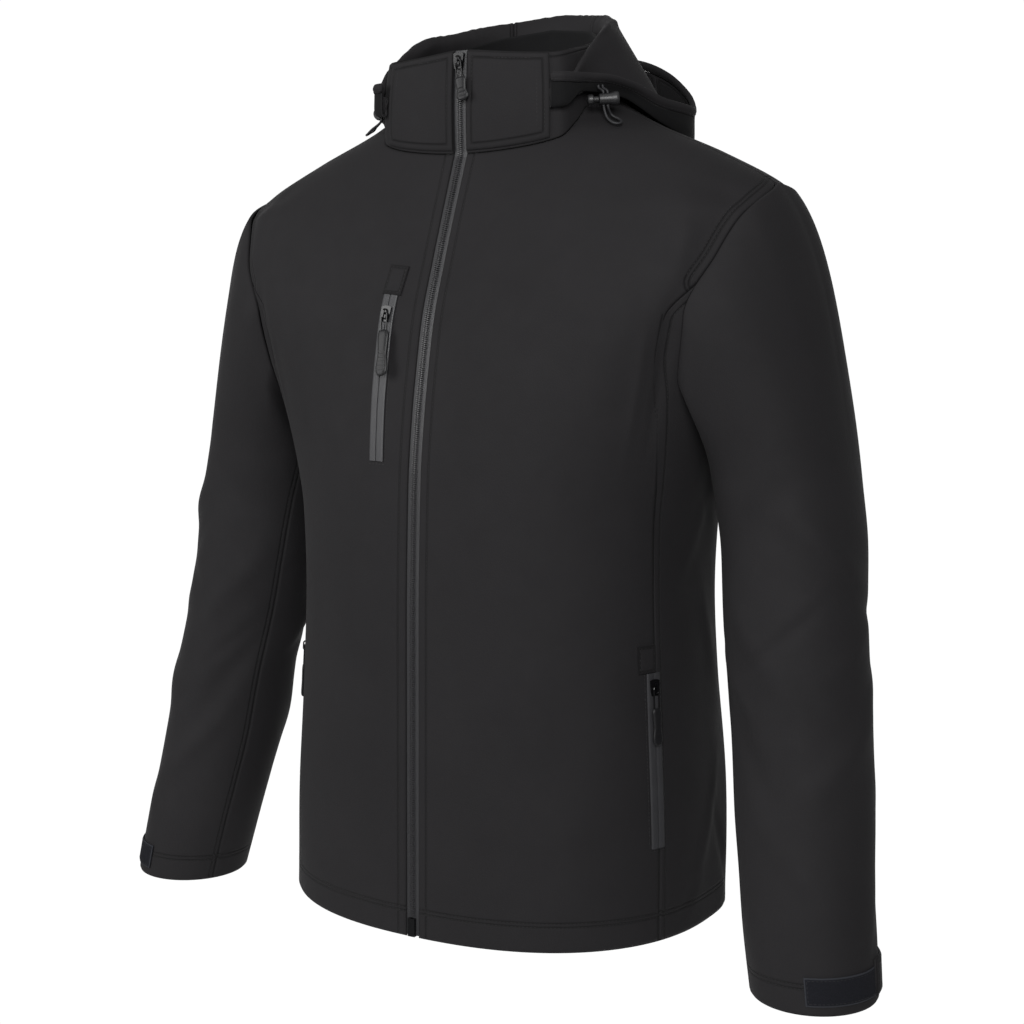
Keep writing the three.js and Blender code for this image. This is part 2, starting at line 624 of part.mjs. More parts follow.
// The edge of the hood's mouth: a hem with the drawcord in it, an oval ring in section.
function rimPlace(turn) {
  const curve = hoodProfile(turn);
  const end = curve.getPoint(1);
  const rise = end.clone().sub(curve.getPoint(0.97)).normalize();
  const across = hoodProfile(turn + 1).getPoint(1).sub(hoodProfile(turn - 1).getPoint(1));
  const out = across.cross(rise).normalize();
  return { centre: end.clone().addScaledVector(rise, RIM_HIGH / 2 + GAP), out, rise };
}
function hoodRim() {
  const rings = hoodTurns(HOOD_TURN, 360 - HOOD_TURN).map((turn) => {
    const { centre, out, rise } = rimPlace(turn);
    return ring(centre, out, rise, RIM_THICK / 2, RIM_HIGH / 2, 8);
  });
  return loft(rings);
}

// Points of an ellipse about a centre, in the plane of two directions.
function ring(centre, a, b, wide, high, count) {
  return Array.from({ length: count }, (_, i) => {
    const t = (2 * Math.PI * (i + 0.5)) / count;
    return centre.clone().addScaledVector(a, wide * Math.cos(t)).addScaledVector(b, high * Math.sin(t));
  });
}
// Closed solid through rings of points, capped at both ends or joined into a loop.
function loft(rings, joined = false) {
  const count = rings[0].length;
  const positions = rings.flat().flatMap((p) => [p.x, p.y, p.z]);
  const index = [];
  const spans = joined ? rings.length : rings.length - 1;
  for (let i = 0; i < spans; i++) {
    const a = i * count;
    const b = ((i + 1) % rings.length) * count;
    for (let j = 0; j < count; j++) {
      const k = (j + 1) % count;
      index.push(a + j, a + k, b + k, a + j, b + k, b + j);
    }
  }
  const last = (rings.length - 1) * count;
  if (!joined)
    for (let j = 1; j < count - 1; j++) {
      index.push(0, j + 1, j);
      index.push(last, last + j, last + j + 1);
    }
  const geometry = new THREE.BufferGeometry();
  geometry.setAttribute("position", new THREE.Float32BufferAttribute(positions, 3));
  geometry.setIndex(index);
  return faceOut(geometry);
}

// A place on the garment's front with its own axes: towards the wearer's right, out, and up.
function frameOn(point, ahead, behind, out) {
  const up = ahead.clone().sub(behind).normalize();
  const right = out.clone().cross(up).normalize();
  return { point, right, out: up.clone().cross(right).normalize(), up };
}
function bodyFrame(turn, z) {
  return frameOn(body(turn, z), body(turn, z + 2), body(turn, z - 2), bodyNormal(turn, z));
}
// Centre front, from the hem to the top of the collar.
const NECK_Z = NECKLINE[0].z;
function centreFront(z) {
  if (z <= NECK_Z) return bodyBase(0, z);
  return collarPoint(0, (z - NECK_Z) / (COLLAR_TOP[0].z - NECK_Z));
}
function centreFrame(z) {
  const ahead = centreFront(z + 3);
  const behind = centreFront(z - 3);
  const out = vec(0, behind.z - ahead.z, ahead.y - behind.y);
  return frameOn(centreFront(z), ahead, behind, out.normalize());
}

// A strip laid along a line of frames: its cross-section, as distances to the wearer's left and
// out, is carried from frame to frame.
function strip(frames, section) {
  return loft(
    frames.map((f) =>
      section.map(([left, out]) =>
        f.point.clone().addScaledVector(f.right, -left).addScaledVector(f.out, out),
      ),
    ),
  );
}
const flatSection = (left, right, low, high) => [[left, low], [right, low], [right, high], [left, high]];

// One half of the main zip: its tape and the bead of its coil, from the box up to the collar.
function mainTape(side) {
  const inner = 0.2;
  const outer = ZIP_WIDTH / 2 - GAP;
  const section = [[inner, -1.6], [outer, -1.6], [outer, -0.6], [2.6, -0.6], [2, 0.3], [inner, 0.3]];
  return strip(
    steps(BOX_TOP_Z + GAP, COLLAR_TOP[0].z - 1, 20).map(centreFrame),
    section.map(([left, out]) => [left * side, out]),
  );
}
const boxSection = flatSection(-3.2, 3.2, -1.8, 1.6);

// Pocket zip: a tape strip with its stitched welt, and the patch that houses the slider.
const pocketLine = (pocket, from, to, count) =>
  steps(from, to, count).map((z) => bodyFrame(pocketTurn(pocket, z), z));
function pocketTurn(pocket, z) {
  const t = THREE.MathUtils.clamp((z - pocket.top) / (pocket.bottom - pocket.top), -1, 1);
  return lerp(pocket.turn, pocket.lowTurn, Math.max(t, 0));
}
const pocketStrip = (pocket) =>
  strip(
    pocketLine(pocket, pocket.bottom, pocket.top - GAP, 8),
    flatSection(-POCKET_ZIP_WIDTH / 2, POCKET_ZIP_WIDTH / 2, GAP, GAP + PATCH),
  );
const pocketGarage = (pocket) =>
  strip(
    pocketLine(pocket, pocket.top, pocket.top + pocket.garageHigh, 3),
    flatSection(pocket.garageLeft - pocket.garageWide, pocket.garageLeft, GAP, GAP + PATCH),
  );

// Moves a shape drawn with x to the wearer's right, y out and z up onto a frame.
function onto(geometry, f) {
  const m = new THREE.Matrix4().makeBasis(f.right, f.out, f.up).setPosition(f.point);
  return faceOut(geometry.applyMatrix4(m));
}
const bare = (geometry) => {
  geometry.deleteAttribute("normal");
  geometry.deleteAttribute("uv");
  return mergeVertices(geometry, 1e-4);
};
// A flat shape drawn in x and z, between two distances out.
function plate(shape, low, high) {
  const g = new THREE.ExtrudeGeometry(shape, { depth: high - low, bevelEnabled: false, curveSegments: 3 });
  return bare(g.rotateX(Math.PI / 2).translate(0, high, 0));
}
const wasm = await Module();
wasm.setup();
function solid(geometry) {
  const g = bare(geometry.clone());
  const vertProperties = g.attributes.position.array;
  const triVerts = new Uint32Array(g.index.array);
  return new wasm.Manifold(new wasm.Mesh({ numProp: 3, vertProperties, triVerts }));
}
function fromSolid(made) {
  const mesh = made.getMesh();
  const g = new THREE.BufferGeometry();
  g.setAttribute("position", new THREE.BufferAttribute(mesh.vertProperties, 3));
  g.setIndex(new THREE.BufferAttribute(mesh.triVerts, 1));
  return g;
}

// Zip slider: a shield-shaped body, wider at its top, with a bridge over it that the pull hangs
// from. The bridge is drawn along the zip, as an outer and an inner outline.
const PIVOT_OUT = 4.2;
const PIVOT_UP = 0.6;
const LINK_WIRE = 0.65;
const LINK_HALF = 2.6;
const SLIDER = { half: 4.6, crown: 8, shoulder: 6, foot: -6, footHalf: 3.2, face: 3.2 };
const BRIDGE = { half: 4.5, high: 3.6, wall: 1.1, wide: 1.3, sunk: 0.5 };
function sliderShape(low) {
  const { half, crown, shoulder, foot, footHalf, face } = SLIDER;
  const outline = new THREE.Shape();
  outline.moveTo(-half, shoulder);
  outline.quadraticCurveTo(0, crown, half, shoulder);
  outline.quadraticCurveTo(half, -1, footHalf, foot);
  outline.lineTo(-footHalf, foot);
  outline.quadraticCurveTo(-half, -1, -half, shoulder);
  const inner = BRIDGE.half - BRIDGE.wall;
  const under = BRIDGE.high - BRIDGE.wall;
  const arch = new THREE.Shape();
  arch.moveTo(-BRIDGE.half, 0);
  arch.quadraticCurveTo(-BRIDGE.half, BRIDGE.high, -BRIDGE.half / 2, BRIDGE.high);
  arch.lineTo(BRIDGE.half / 2, BRIDGE.high);
  arch.quadraticCurveTo(BRIDGE.half, BRIDGE.high, BRIDGE.half, 0);
  arch.lineTo(inner, 0);
  arch.quadraticCurveTo(inner, under, inner / 2, under);
  arch.lineTo(-inner / 2, under);
  arch.quadraticCurveTo(-inner, under, -inner, 0);
  const bridge = new THREE.ExtrudeGeometry(arch, {
    depth: BRIDGE.wide, bevelEnabled: false, curveSegments: 4,
  });
  const alongZip = new THREE.Matrix4().makeBasis(vec(0, 0, 1), vec(0, 1, 0), vec(-1, 0, 0));
  bridge.applyMatrix4(alongZip).translate(BRIDGE.wide / 2, face - BRIDGE.sunk, 0);
  return fromSolid(solid(plate(outline, low, face)).add(solid(bridge)));
}
// The wire link, a rounded oblong loop that turns under the bridge.
function linkShape(long, wire) {
  const corner = 1.2;
  const path = [];
  const corners = [[1, -1, 0], [-1, -1, 90], [-1, 1, 180], [1, 1, 270]];
  for (const [sx, sz, from] of corners)
    for (const part of [0, 45, 90]) {
      const a = rad(-from - part);
      const cx = sx * (LINK_HALF - corner);
      const cz = sz > 0 ? -corner : -(long - corner);
      path.push(vec(cx + corner * Math.cos(a), 0, cz + corner * Math.sin(a)));
    }
  const rings = path.map((p, i) => {
    const before = path[(i + path.length - 1) % path.length];
    const along = path[(i + 1) % path.length].clone().sub(before).normalize();
    return ring(p, vec(0, 1, 0), vec(0, 1, 0).cross(along).normalize(), wire, wire, 8);
  });
  return loft(rings, true);
}
// The moulded rubber puller: a waisted tongue with an eye for the link, drawn down one side as
// half widths and distances from its top, which are shares of its width and length.
const PULLER_HALF_THICK = 1.4;
const EYE_LAP = 3.4; // of the tongue's top past the link's lower end
const TONGUE = [
  { bend: [0.95, 0.12], to: [0.8, 0.35] },
  { bend: [0.55, 0.58], to: [1, 0.8] },
  { bend: [0.95, 1], to: [0, 1] },
];
const TONGUE_TOP = 0.72;
function pullerShape(pull) {
  const { linkLong, long, wide } = pull;
  const spot = (side, [across, down]) => [(side * across * wide) / 2, EYE_LAP - linkLong - long * down];
  const outline = new THREE.Shape();
  outline.moveTo(...spot(-1, [TONGUE_TOP, 0]));
  outline.lineTo(...spot(1, [TONGUE_TOP, 0]));
  for (const { bend, to } of TONGUE) outline.quadraticCurveTo(...spot(1, bend), ...spot(1, to));
  for (let i = TONGUE.length - 1; i >= 0; i--) {
    const to = i > 0 ? TONGUE[i - 1].to : [TONGUE_TOP, 0];
    outline.quadraticCurveTo(...spot(-1, TONGUE[i].bend), ...spot(-1, to));
  }
  const tongue = solid(plate(outline, -PULLER_HALF_THICK, PULLER_HALF_THICK));
  return fromSolid(tongue.subtract(solid(linkShape(linkLong, LINK_WIRE + GAP))));
}

// The pivot of a pull over its slider's frame, leaning on the slider.
function pullFrame(f, lean) {
  const point = f.point.clone().addScaledVector(f.out, PIVOT_OUT).addScaledVector(f.up, PIVOT_UP);
  const turn = new THREE.Quaternion().setFromAxisAngle(f.out, rad(lean));
  return {
    point,
    out: f.out,
    right: f.right.clone().applyQuaternion(turn),
    up: f.up.clone().applyQuaternion(turn),
  };
}

// A piece laid on a sleeve: its outline by turn round the cuff and height, moved out.
function onSleeve(piece, columns, low, high) {
  const at = (round, z, out) => {
    const along = 1 + (z - SLEEVE_TOP_Z) / (CUFF_Z - SLEEVE_TOP_Z);
    return sleeve(round, along, out);
  };
  const heights = steps(CUFF_Z + piece.low, CUFF_Z + piece.high, 2);
  const rounds = steps(piece.from, piece.to, columns);
  const grid = (out) => heights.map((z) => rounds.map((round) => at(round, z, out)));
  return wall(grid(high), grid(low));
}

// Drawcord: the route of one loop, from under the hood's hem through the lock and back.
const around = (p) => vec(p.r * Math.sin(rad(p.turn)), -p.r * Math.cos(rad(p.turn)), p.z);
const lockAxis = (cord) => around(cord.end).sub(around(cord.knob)).normalize();
function cordRoute(cord) {
  const axis = lockAxis(cord);
  const hole = around(cord.hole);
  const hem = rimPlace(cord.mouth);
  const mouth = hem.centre
    .addScaledVector(hem.out, RIM_THICK / 2 + GAP)
    .addScaledVector(hem.rise, -RIM_HIGH / 2 - 2 * GAP);
  const loop = bodyFrame(cord.loop.turn, cord.loop.z);
  const drop = vec(0, 0, -1).addScaledVector(axis, axis.z).normalize();
  const end = loop.point.clone().addScaledVector(loop.out, LOOP.lift);
  const hang = end.clone().sub(hole).addScaledVector(drop, -BARREL_DEEP);
  const lie = hang.addScaledVector(loop.out, -hang.dot(loop.out)).normalize();
  const aside = loop.out.clone().cross(lie);
  if (aside.dot(axis) < 0) aside.negate();
  const from = (p, direction, far, side, apart) =>
    p.clone().addScaledVector(direction, far).addScaledVector(side, apart);
  const strand = (side) => {
    const half = (side * LOOP.strands) / 2;
    return [
      from(mouth, drop, 0, axis, half),
      from(mouth, drop, 2, axis, half),
      from(hole, drop, -BARREL_DEEP, axis, half),
      from(hole, drop, -2, axis, half),
      from(hole, drop, 2, axis, half),
      from(hole, drop, BARREL_DEEP, axis, half),
      from(end, lie, -7, aside, side * LOOP.radius * 0.75).addScaledVector(loop.out, 1.2),
      from(end, lie, 0, aside, side * LOOP.radius),
    ];
  };
  const bend = [-45, 0, 45].map((a) =>
    from(end, lie, LOOP.radius * Math.cos(rad(a)), aside, LOOP.radius * Math.sin(rad(a))),
  );
  return [...strand(-1), ...bend, ...strand(1).reverse()];
}
function cordTube(cord, diameter) {
  const curve = new THREE.CatmullRomCurve3(cordRoute(cord), false, "centripetal");
  const section = new THREE.Shape().absarc(0, 0, diameter / 2, 0, 2 * Math.PI, false);
  const g = new THREE.ExtrudeGeometry(section, {
    steps: 22, curveSegments: 4, extrudePath: curve, bevelEnabled: false,
  });
  return faceOut(bare(g));
}
// A turned piece on the lock's axis, from a profile of radius and distance along.
function onAxis(cord, profile, start) {
  const axis = lockAxis(cord);
  const geometry = new THREE.LatheGeometry(profile.map(([r, h]) => new THREE.Vector2(r, h)), 12);
  const turn = new THREE.Quaternion().setFromUnitVectors(vec(0, 1, 0), axis);
  const p = around(cord.hole).addScaledVector(axis, start);
  return faceOut(bare(geometry.applyQuaternion(turn).translate(p.x, p.y, p.z)));
}
const CORD_CLEARANCE = 2 * GAP + 0.1;
const barrel = (cord) =>
  fromSolid(solid(onAxis(cord, BARREL, -HOLE_ALONG)).subtract(solid(cordTube(cord, CORD + CORD_CLEARANCE))));
const plunger = (cord) => onAxis(cord, PLUNGER, -HOLE_ALONG - GAP - PLUNGER[PLUNGER.length - 1][1]);

const group = new THREE.Group();
const clothLook = new THREE.MeshStandardMaterial({ color: 0x1b1b1c, roughness: 0.9 });
const tapeLook = new THREE.MeshStandardMaterial({ color: 0x29292c, roughness: 0.45 });
const rubberLook = new THREE.MeshStandardMaterial({ color: 0x141415, roughness: 0.55 });
const metalLook = new THREE.MeshStandardMaterial({ color: 0x0c0c0d, roughness: 0.3, metalness: 0.8 });
function add(name, geometry, look) {
  const mesh = new THREE.Mesh(geometry, look.clone());
  mesh.name = name;
  group.add(mesh);
}

add("front_left", frontPanel(), clothLook);
add("front_right", mirrored(frontPanel()), clothLook);
add("side_left", sidePanel(), clothLook);
add("side_right", mirrored(sidePanel()), clothLook);
add("back", backPanel(), clothLook);
const sleeveUpper = sleevePiece(BACK_ARM_SEAM - 360, FRONT_ARM_SEAM);
const sleeveUnder = sleevePiece(FRONT_ARM_SEAM, BACK_ARM_SEAM);
add("sleeve_upper_left", sleeveUpper, clothLook);
add("sleeve_upper_right", mirrored(sleeveUpper), clothLook);
add("sleeve_under_left", sleeveUnder, clothLook);
add("sleeve_under_right", mirrored(sleeveUnder), clothLook);
add("collar", collarBand(COLLAR_EDGE_TURN, 360 - COLLAR_EDGE_TURN, 30, -COLLAR_WALL, 0, 0, 1), clothLook);
add("hood_left", hoodPanel(HOOD_TURN, 180 - HOOD_CENTRE_HALF - 0.1), clothLook);
add("hood_right", hoodPanel(180 + HOOD_CENTRE_HALF + 0.1, 360 - HOOD_TURN), clothLook);
add("hood_centre", hoodPanel(180 - HOOD_CENTRE_HALF + 0.1, 180 + HOOD_CENTRE_HALF - 0.1), clothLook);
add("hood_rim", hoodRim(), clothLook);
for (const [name, side] of [["left", 1], ["right", -1]]) {
  add(`collar_tab_${name}`, collarBand(
    side > 0 ? COLLAR_EDGE_TURN : 360 - TAB_TURN,
    side > 0 ? TAB_TURN : 360 - COLLAR_EDGE_TURN,
    8, GAP, GAP + PATCH, 0.02, 0.985,
  ), clothLook);
  add(`zip_tape_${name}`, mainTape(side), tapeLook);
}
add("zip_box", strip(steps(HEM_Z + 1, BOX_TOP_Z, 1).map(centreFrame), boxSection), metalLook);

for (const [name, pocket] of [["chest", CHEST], ["hand_left", HAND], ["hand_right", OTHER_HAND]]) {
  add(`${name}_zip`, pocketStrip(pocket), tapeLook);
  add(`${name}_garage`, pocketGarage(pocket), clothLook);
}
for (const pull of PULLS) {
  const f = pull.pocket ? bodyFrame(pocketTurn(pull.pocket, pull.z), pull.z) : centreFrame(pull.z);
  const hung = pullFrame(f, pull.lean);
  const clear = pull.pocket ? GAP + PATCH + GAP : 2 * GAP; // over the strip, or the coil
  add(`${pull.name}_slider`, onto(sliderShape(clear), f), metalLook);
  add(`${pull.name}_link`, onto(linkShape(pull.linkLong, LINK_WIRE), hung), metalLook);
  add(`${pull.name}_puller`, onto(pullerShape(pull), hung), rubberLook);
}

const patchTop = 2 * GAP + PATCH;
const tabTop = 2 * GAP + CLOTH;
const loopPatch = onSleeve(LOOP_PATCH, 6, 2 * GAP, patchTop);
const cuffTab = onSleeve(CUFF_TAB, 9, 2 * GAP, tabTop);
add("cuff_loop_left", loopPatch, tapeLook);
add("cuff_loop_right", mirrored(loopPatch), tapeLook);
add("cuff_tab_left", cuffTab, clothLook);
add("cuff_tab_right", mirrored(cuffTab), clothLook);

for (const [side, cord] of Object.entries(CORDS)) {
  const placed = (geometry) => (side === "left" ? geometry : mirrored(geometry));
  add(`cord_lock_${side}`, placed(barrel(cord)), rubberLook);
  add(`plunger_${side}`, placed(plunger(cord)), rubberLook);
  add(`drawcord_${side}`, placed(cordTube(cord, CORD)), tapeLook);
}

export default group;
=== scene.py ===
import math

import bpy
import numpy as np
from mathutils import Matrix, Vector


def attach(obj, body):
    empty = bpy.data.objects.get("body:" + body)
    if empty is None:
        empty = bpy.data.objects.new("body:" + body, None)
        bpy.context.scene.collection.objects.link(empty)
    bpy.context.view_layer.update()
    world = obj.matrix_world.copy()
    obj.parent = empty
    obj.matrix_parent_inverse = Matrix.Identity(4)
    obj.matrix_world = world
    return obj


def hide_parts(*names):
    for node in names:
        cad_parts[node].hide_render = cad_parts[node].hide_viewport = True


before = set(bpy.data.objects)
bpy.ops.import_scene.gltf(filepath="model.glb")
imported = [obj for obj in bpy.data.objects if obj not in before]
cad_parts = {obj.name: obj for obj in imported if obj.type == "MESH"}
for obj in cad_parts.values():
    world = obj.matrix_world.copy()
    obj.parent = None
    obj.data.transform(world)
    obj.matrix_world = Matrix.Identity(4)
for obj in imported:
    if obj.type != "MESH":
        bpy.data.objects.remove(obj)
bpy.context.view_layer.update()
MM = 0.001

# Camera: a long lens at chest height, 30 degrees round to the wearer's left and looking a little
# down. The jacket hangs at a standing man's height over a pale round of floor, in wide soft light.
CAMERA_AT = (0.7605, -1.3172, -0.1545)
CAMERA_ROUND = 30.06
CAMERA_DOWN = 7.11
LENS = 62.47
SENSOR = 36
FLOOR_Z = -1.42
FLOOR_REACH = 1.2
FLOOR_SIDES = 96

camera = bpy.data.objects.new("camera", bpy.data.cameras.new("camera"))
bpy.context.scene.collection.objects.link(camera)
camera.data.lens = LENS
camera.data.sensor_width = SENSOR
camera.location = CAMERA_AT
ahead = Vector((
    -math.sin(math.radians(CAMERA_ROUND)) * math.cos(math.radians(CAMERA_DOWN)),
    math.cos(math.radians(CAMERA_ROUND)) * math.cos(math.radians(CAMERA_DOWN)),
    -math.sin(math.radians(CAMERA_DOWN)),
))
camera.rotation_euler = ahead.to_track_quat("-Z", "Y").to_euler()
bpy.context.scene.camera = camera


def softbox(name, place, aim, wide, high, watts):
    light = bpy.data.lights.new(name, "AREA")
    light.shape = "RECTANGLE"
    light.size = wide
    light.size_y = high
    light.energy = watts
    holder = bpy.data.objects.new(name, light)
    bpy.context.scene.collection.objects.link(holder)
    holder.location = place
    holder.rotation_euler = (Vector(aim) - Vector(place)).to_track_quat("-Z", "Y").to_euler()


softbox("key_softbox", (1.5, -2.7, 0.9), (0, 0, -0.3), 1.5, 1.7, 94)
softbox("fill_softbox", (-2.3, -2.3, 0.7), (0, 0, -0.35), 1.5, 1.9, 60)
softbox("top_softbox", (0.3, -0.4, 2.0), (0, 0, -0.2), 1.5, 1.5, 5)

# The studio's backdrop is white behind the jacket and greyer all round.
BACKDROP_GREY = 0.24
BACKDROP_WHITE = 1.03
GREY_BEYOND = 40
WHITE_WITHIN = 25
studio = bpy.data.worlds.new("studio")
studio.use_nodes = True
air = studio.node_tree
way = air.nodes.new("ShaderNodeTexCoord").outputs["Generated"]
facing = air.nodes.new("ShaderNodeVectorMath")
facing.operation = "DOT_PRODUCT"
facing.inputs[1].default_value = ahead
air.links.new(way, facing.inputs[0])
fall = air.nodes.new("ShaderNodeMapRange")
fall.interpolation_type = "SMOOTHSTEP"
fall.inputs["From Min"].default_value = math.cos(math.radians(GREY_BEYOND))
fall.inputs["From Max"].default_value = math.cos(math.radians(WHITE_WITHIN))
fall.inputs["To Min"].default_value = BACKDROP_GREY
fall.inputs["To Max"].default_value = BACKDROP_WHITE
air.links.new(facing.outputs["Value"], fall.inputs["Value"])
air.links.new(fall.outputs["Result"], air.nodes["Background"].inputs["Color"])
bpy.context.scene.world = studio
bpy.context.scene.view_settings.view_transform = "Standard"


def finish_with(name, colour, roughness, spread, scale):
    """A new material and what its look is made with: a maker of nodes, a way to set its shader,
    the place on the piece, and its colour, which drifts a little between darker and lighter."""
    material = bpy.data.materials.new(name)
    material.use_nodes = True
    tree = material.node_tree

    def fill(made, inputs):
        for key, value in inputs.items():
            if isinstance(value, bpy.types.NodeSocket):
                tree.links.new(value, made.inputs[key])
            else:
                made.inputs[key].default_value = value
        return made

    def node(kind, inputs, **settings):
        made = tree.nodes.new("ShaderNode" + kind)
        for key, value in settings.items():
            setattr(made, key, value)
        return fill(made, inputs)

    def shade(inputs):
        fill(tree.nodes["Principled BSDF"], inputs)

    where = node("TexCoord", {}).outputs["Object"]
    cloud = node("TexNoise", {"Vector": where, "Scale": scale, "Detail": 4}).outputs["Fac"]
    dark = (*(c * (1 - spread) for c in colour), 1)
    light = (*(c * (1 + spread) for c in colour), 1)
    drift = node("Mix", {"Factor": cloud, "A": dark, "B": light}, data_type="RGBA").outputs["Result"]
    shade({"Base Color": (*colour, 1), "Roughness": roughness})
    shade({"Base Color": drift})
    return material, node, shade, where, drift


def round_steps(count):
    """Even steps once round, in radians."""
    return np.arange(count) * 2 * np.pi / count


floor_finish = finish_with("studio_floor", (0.97, 0.97, 0.97), 0.7, 0.01, 1.5)[0]
floor_mesh = bpy.data.meshes.new("floor")
spokes = round_steps(FLOOR_SIDES)
floor_rim = [(FLOOR_REACH * math.cos(a), FLOOR_REACH * math.sin(a), FLOOR_Z) for a in spokes]
floor_mesh.from_pydata(floor_rim, [], [list(range(FLOOR_SIDES))])
floor_mesh.materials.append(floor_finish)
floor = bpy.data.objects.new("floor", floor_mesh)
bpy.context.scene.collection.objects.link(floor)

# Drawcords: one loop of 2 mm elastic cord with a braided cover each side of the hood's mouth. Both
# ends come out under the mouth's hem and run down through the cord lock, and the loop hangs free.
CORD_WIDE = 2
CORD_ROUTE = {
    "left": [
        (103.9, -47.0, 5.8), (104.0, -46.9, 3.8), (108.1, -47.2, 0.7), (108.3, -47.0, -3.3),
        (108.5, -46.9, -7.3), (108.7, -46.7, -11.3), (111.1, -45.7, -19.4), (116.8, -46.3, -23.7),
        (119.6, -45.4, -24.5), (121.3, -42.8, -23.9), (120.8, -40.3, -22.3), (118.5, -39.1, -20.7),
        (112.4, -40.4, -17.1), (111.4, -44.7, -11.1), (111.2, -44.8, -7.1), (111.0, -45.0, -3.1),
        (110.8, -45.1, 0.9), (106.7, -44.9, 4.0), (106.6, -44.9, 6.0),
    ],
    "right": [
        (-105.5, -44.6, 5.8), (-105.6, -44.5, 3.9), (-104.3, -43.1, 0.3), (-104.5, -43.0, -3.7),
        (-104.6, -42.8, -7.7), (-104.8, -42.7, -11.7), (-119.0, -37.5, -18.6), (-124.9, -35.2, -21.9),
        (-127.1, -33.1, -22.1), (-127.4, -30.2, -21.2), (-125.7, -28.2, -19.6), (-122.9, -28.3, -18.3),
        (-117.5, -32.4, -15.9), (-107.1, -40.2, -11.5), (-106.9, -40.3, -7.5), (-106.8, -40.5, -3.5),
        (-106.6, -40.6, 0.5), (-107.9, -42.0, 4.0), (-107.8, -42.1, 6.0),
    ],
}
CORD_STEPS = 300
CORD_SIDES = 16
BRAID_STRANDS = 8
BRAID_PITCH = 5.5
BRAID_RISE = 0.07


def along_route(points, share):
    """Places on the smooth line through the points, at shares of its spans from 0 to 1."""
    points = np.asarray(points, float)
    before = 2 * points[..., :1, :] - points[..., 1:2, :]
    after = 2 * points[..., -1:, :] - points[..., -2:-1, :]
    p = np.concatenate([before, points, after], axis=-2)
    spans = points.shape[-2] - 1
    place = np.clip(np.asarray(share, float) * spans, 0, spans)
    i = np.minimum(place.astype(int), spans - 1)
    t = (place - i)[:, None]
    a, b, c, d = (p[..., i + k, :] for k in range(4))
    ab, bc, cd = (
        np.maximum(np.linalg.norm(w - v, axis=-1, keepdims=True), 1e-9) ** 0.5
        for v, w in ((a, b), (b, c), (c, d))
    )
    leave = ((b - a) / ab - (c - a) / (ab + bc) + (c - b) / bc) * bc
    arrive = ((c - b) / bc - (d - b) / (bc + cd) + (d - c) / cd) * bc
    return b + t * leave + t**2 * (3 * (c - b) - 2 * leave - arrive) + t**3 * (
        2 * (b - c) + leave + arrive
    )


def unit(v):
    return v / np.maximum(np.linalg.norm(v, axis=-1, keepdims=True), 1e-12)


def sides_of(path):
    """Two directions across a path at each of its points, carried along it without twisting."""
    ahead = unit(np.gradient(path, axis=0))
    side = np.zeros_like(path)
    side[0] = unit(np.cross(ahead[0], (0.31, 0.2, 0.93)))
    for i in range(1, len(path)):
        side[i] = unit(side[i - 1] - ahead[i] * side[i - 1].dot(ahead[i]))
    return side, np.cross(ahead, side)


def run_along(line):
    """How far each point of a line is from its start, along the line."""
    return np.concatenate([[0], np.cumsum(np.linalg.norm(np.diff(line, axis=0), axis=1))])


def put(name, points, faces, material, body, smooth=60, uv=None, lines=None):
    """Makes a piece from points in mm: it rides on a body and takes the finish it is given."""
    mesh = bpy.data.meshes.new(name)
    mesh.from_pydata((np.asarray(points).reshape(-1, 3) * MM).tolist(), [], faces)
    for one in material if isinstance(material, (list, tuple)) else [material]:
        mesh.materials.append(one)
    mesh.shade_smooth()
    mesh.set_sharp_from_angle(angle=math.radians(smooth))
    if uv is not None:
        corner = np.zeros(len(mesh.loops), int)
        mesh.loops.foreach_get("vertex_index", corner)
        layer = mesh.uv_layers.new(name="cloth")
        layer.data.foreach_set("uv", uv.reshape(-1, 2)[corner].astype(np.float32).ravel())
    for key, values in (lines or {}).items():
        attribute = mesh.attributes.new(key, "FLOAT", "POINT")
        attribute.data.foreach_set("value", values.astype(np.float32).ravel())
    piece = bpy.data.objects.new(name, mesh)
    bpy.context.scene.collection.objects.link(piece)
    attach(piece, body)
    return piece


def tube_faces(rings, sides, ends=True):
    """Quads round a tube from ring to ring, with a flat face at each end."""
    j = np.arange(sides)
    k = (j + 1) % sides
    faces = []
    for i in range(rings - 1):
        a = i * sides
        b = a + sides
        faces += np.stack([a + j, a + k, b + k, b + j], 1).tolist()
    if ends:
        faces.append(list(range(sides - 1, -1, -1)))
        faces.append([(rings - 1) * sides + n for n in range(sides)])
    return faces


def bump(node, height, strength, deep, under=None, **settings):
    """The normal of a bump: its strength, its depth in mm and the normal that it lies on."""
    inputs = {"Height": height, "Strength": strength, "Distance": deep * MM}
    if under is not None:
        inputs["Normal"] = under
    return node("Bump", inputs, **settings).outputs["Normal"]


def grained(name, colour, roughness, drift, grain, specular=0.5):
    """A plain finish: its drift's spread and scale, its grain's scale, detail, strength and depth."""
    material, node, shade, where, _ = finish_with(name, colour, roughness, *drift)
    scale, detail, strength, deep = grain
    specks = node("TexNoise", {"Vector": where, "Scale": scale, "Detail": detail}).outputs["Fac"]
    shade({"Normal": bump(node, specks, strength, deep), "Specular IOR Level": specular})
    return material


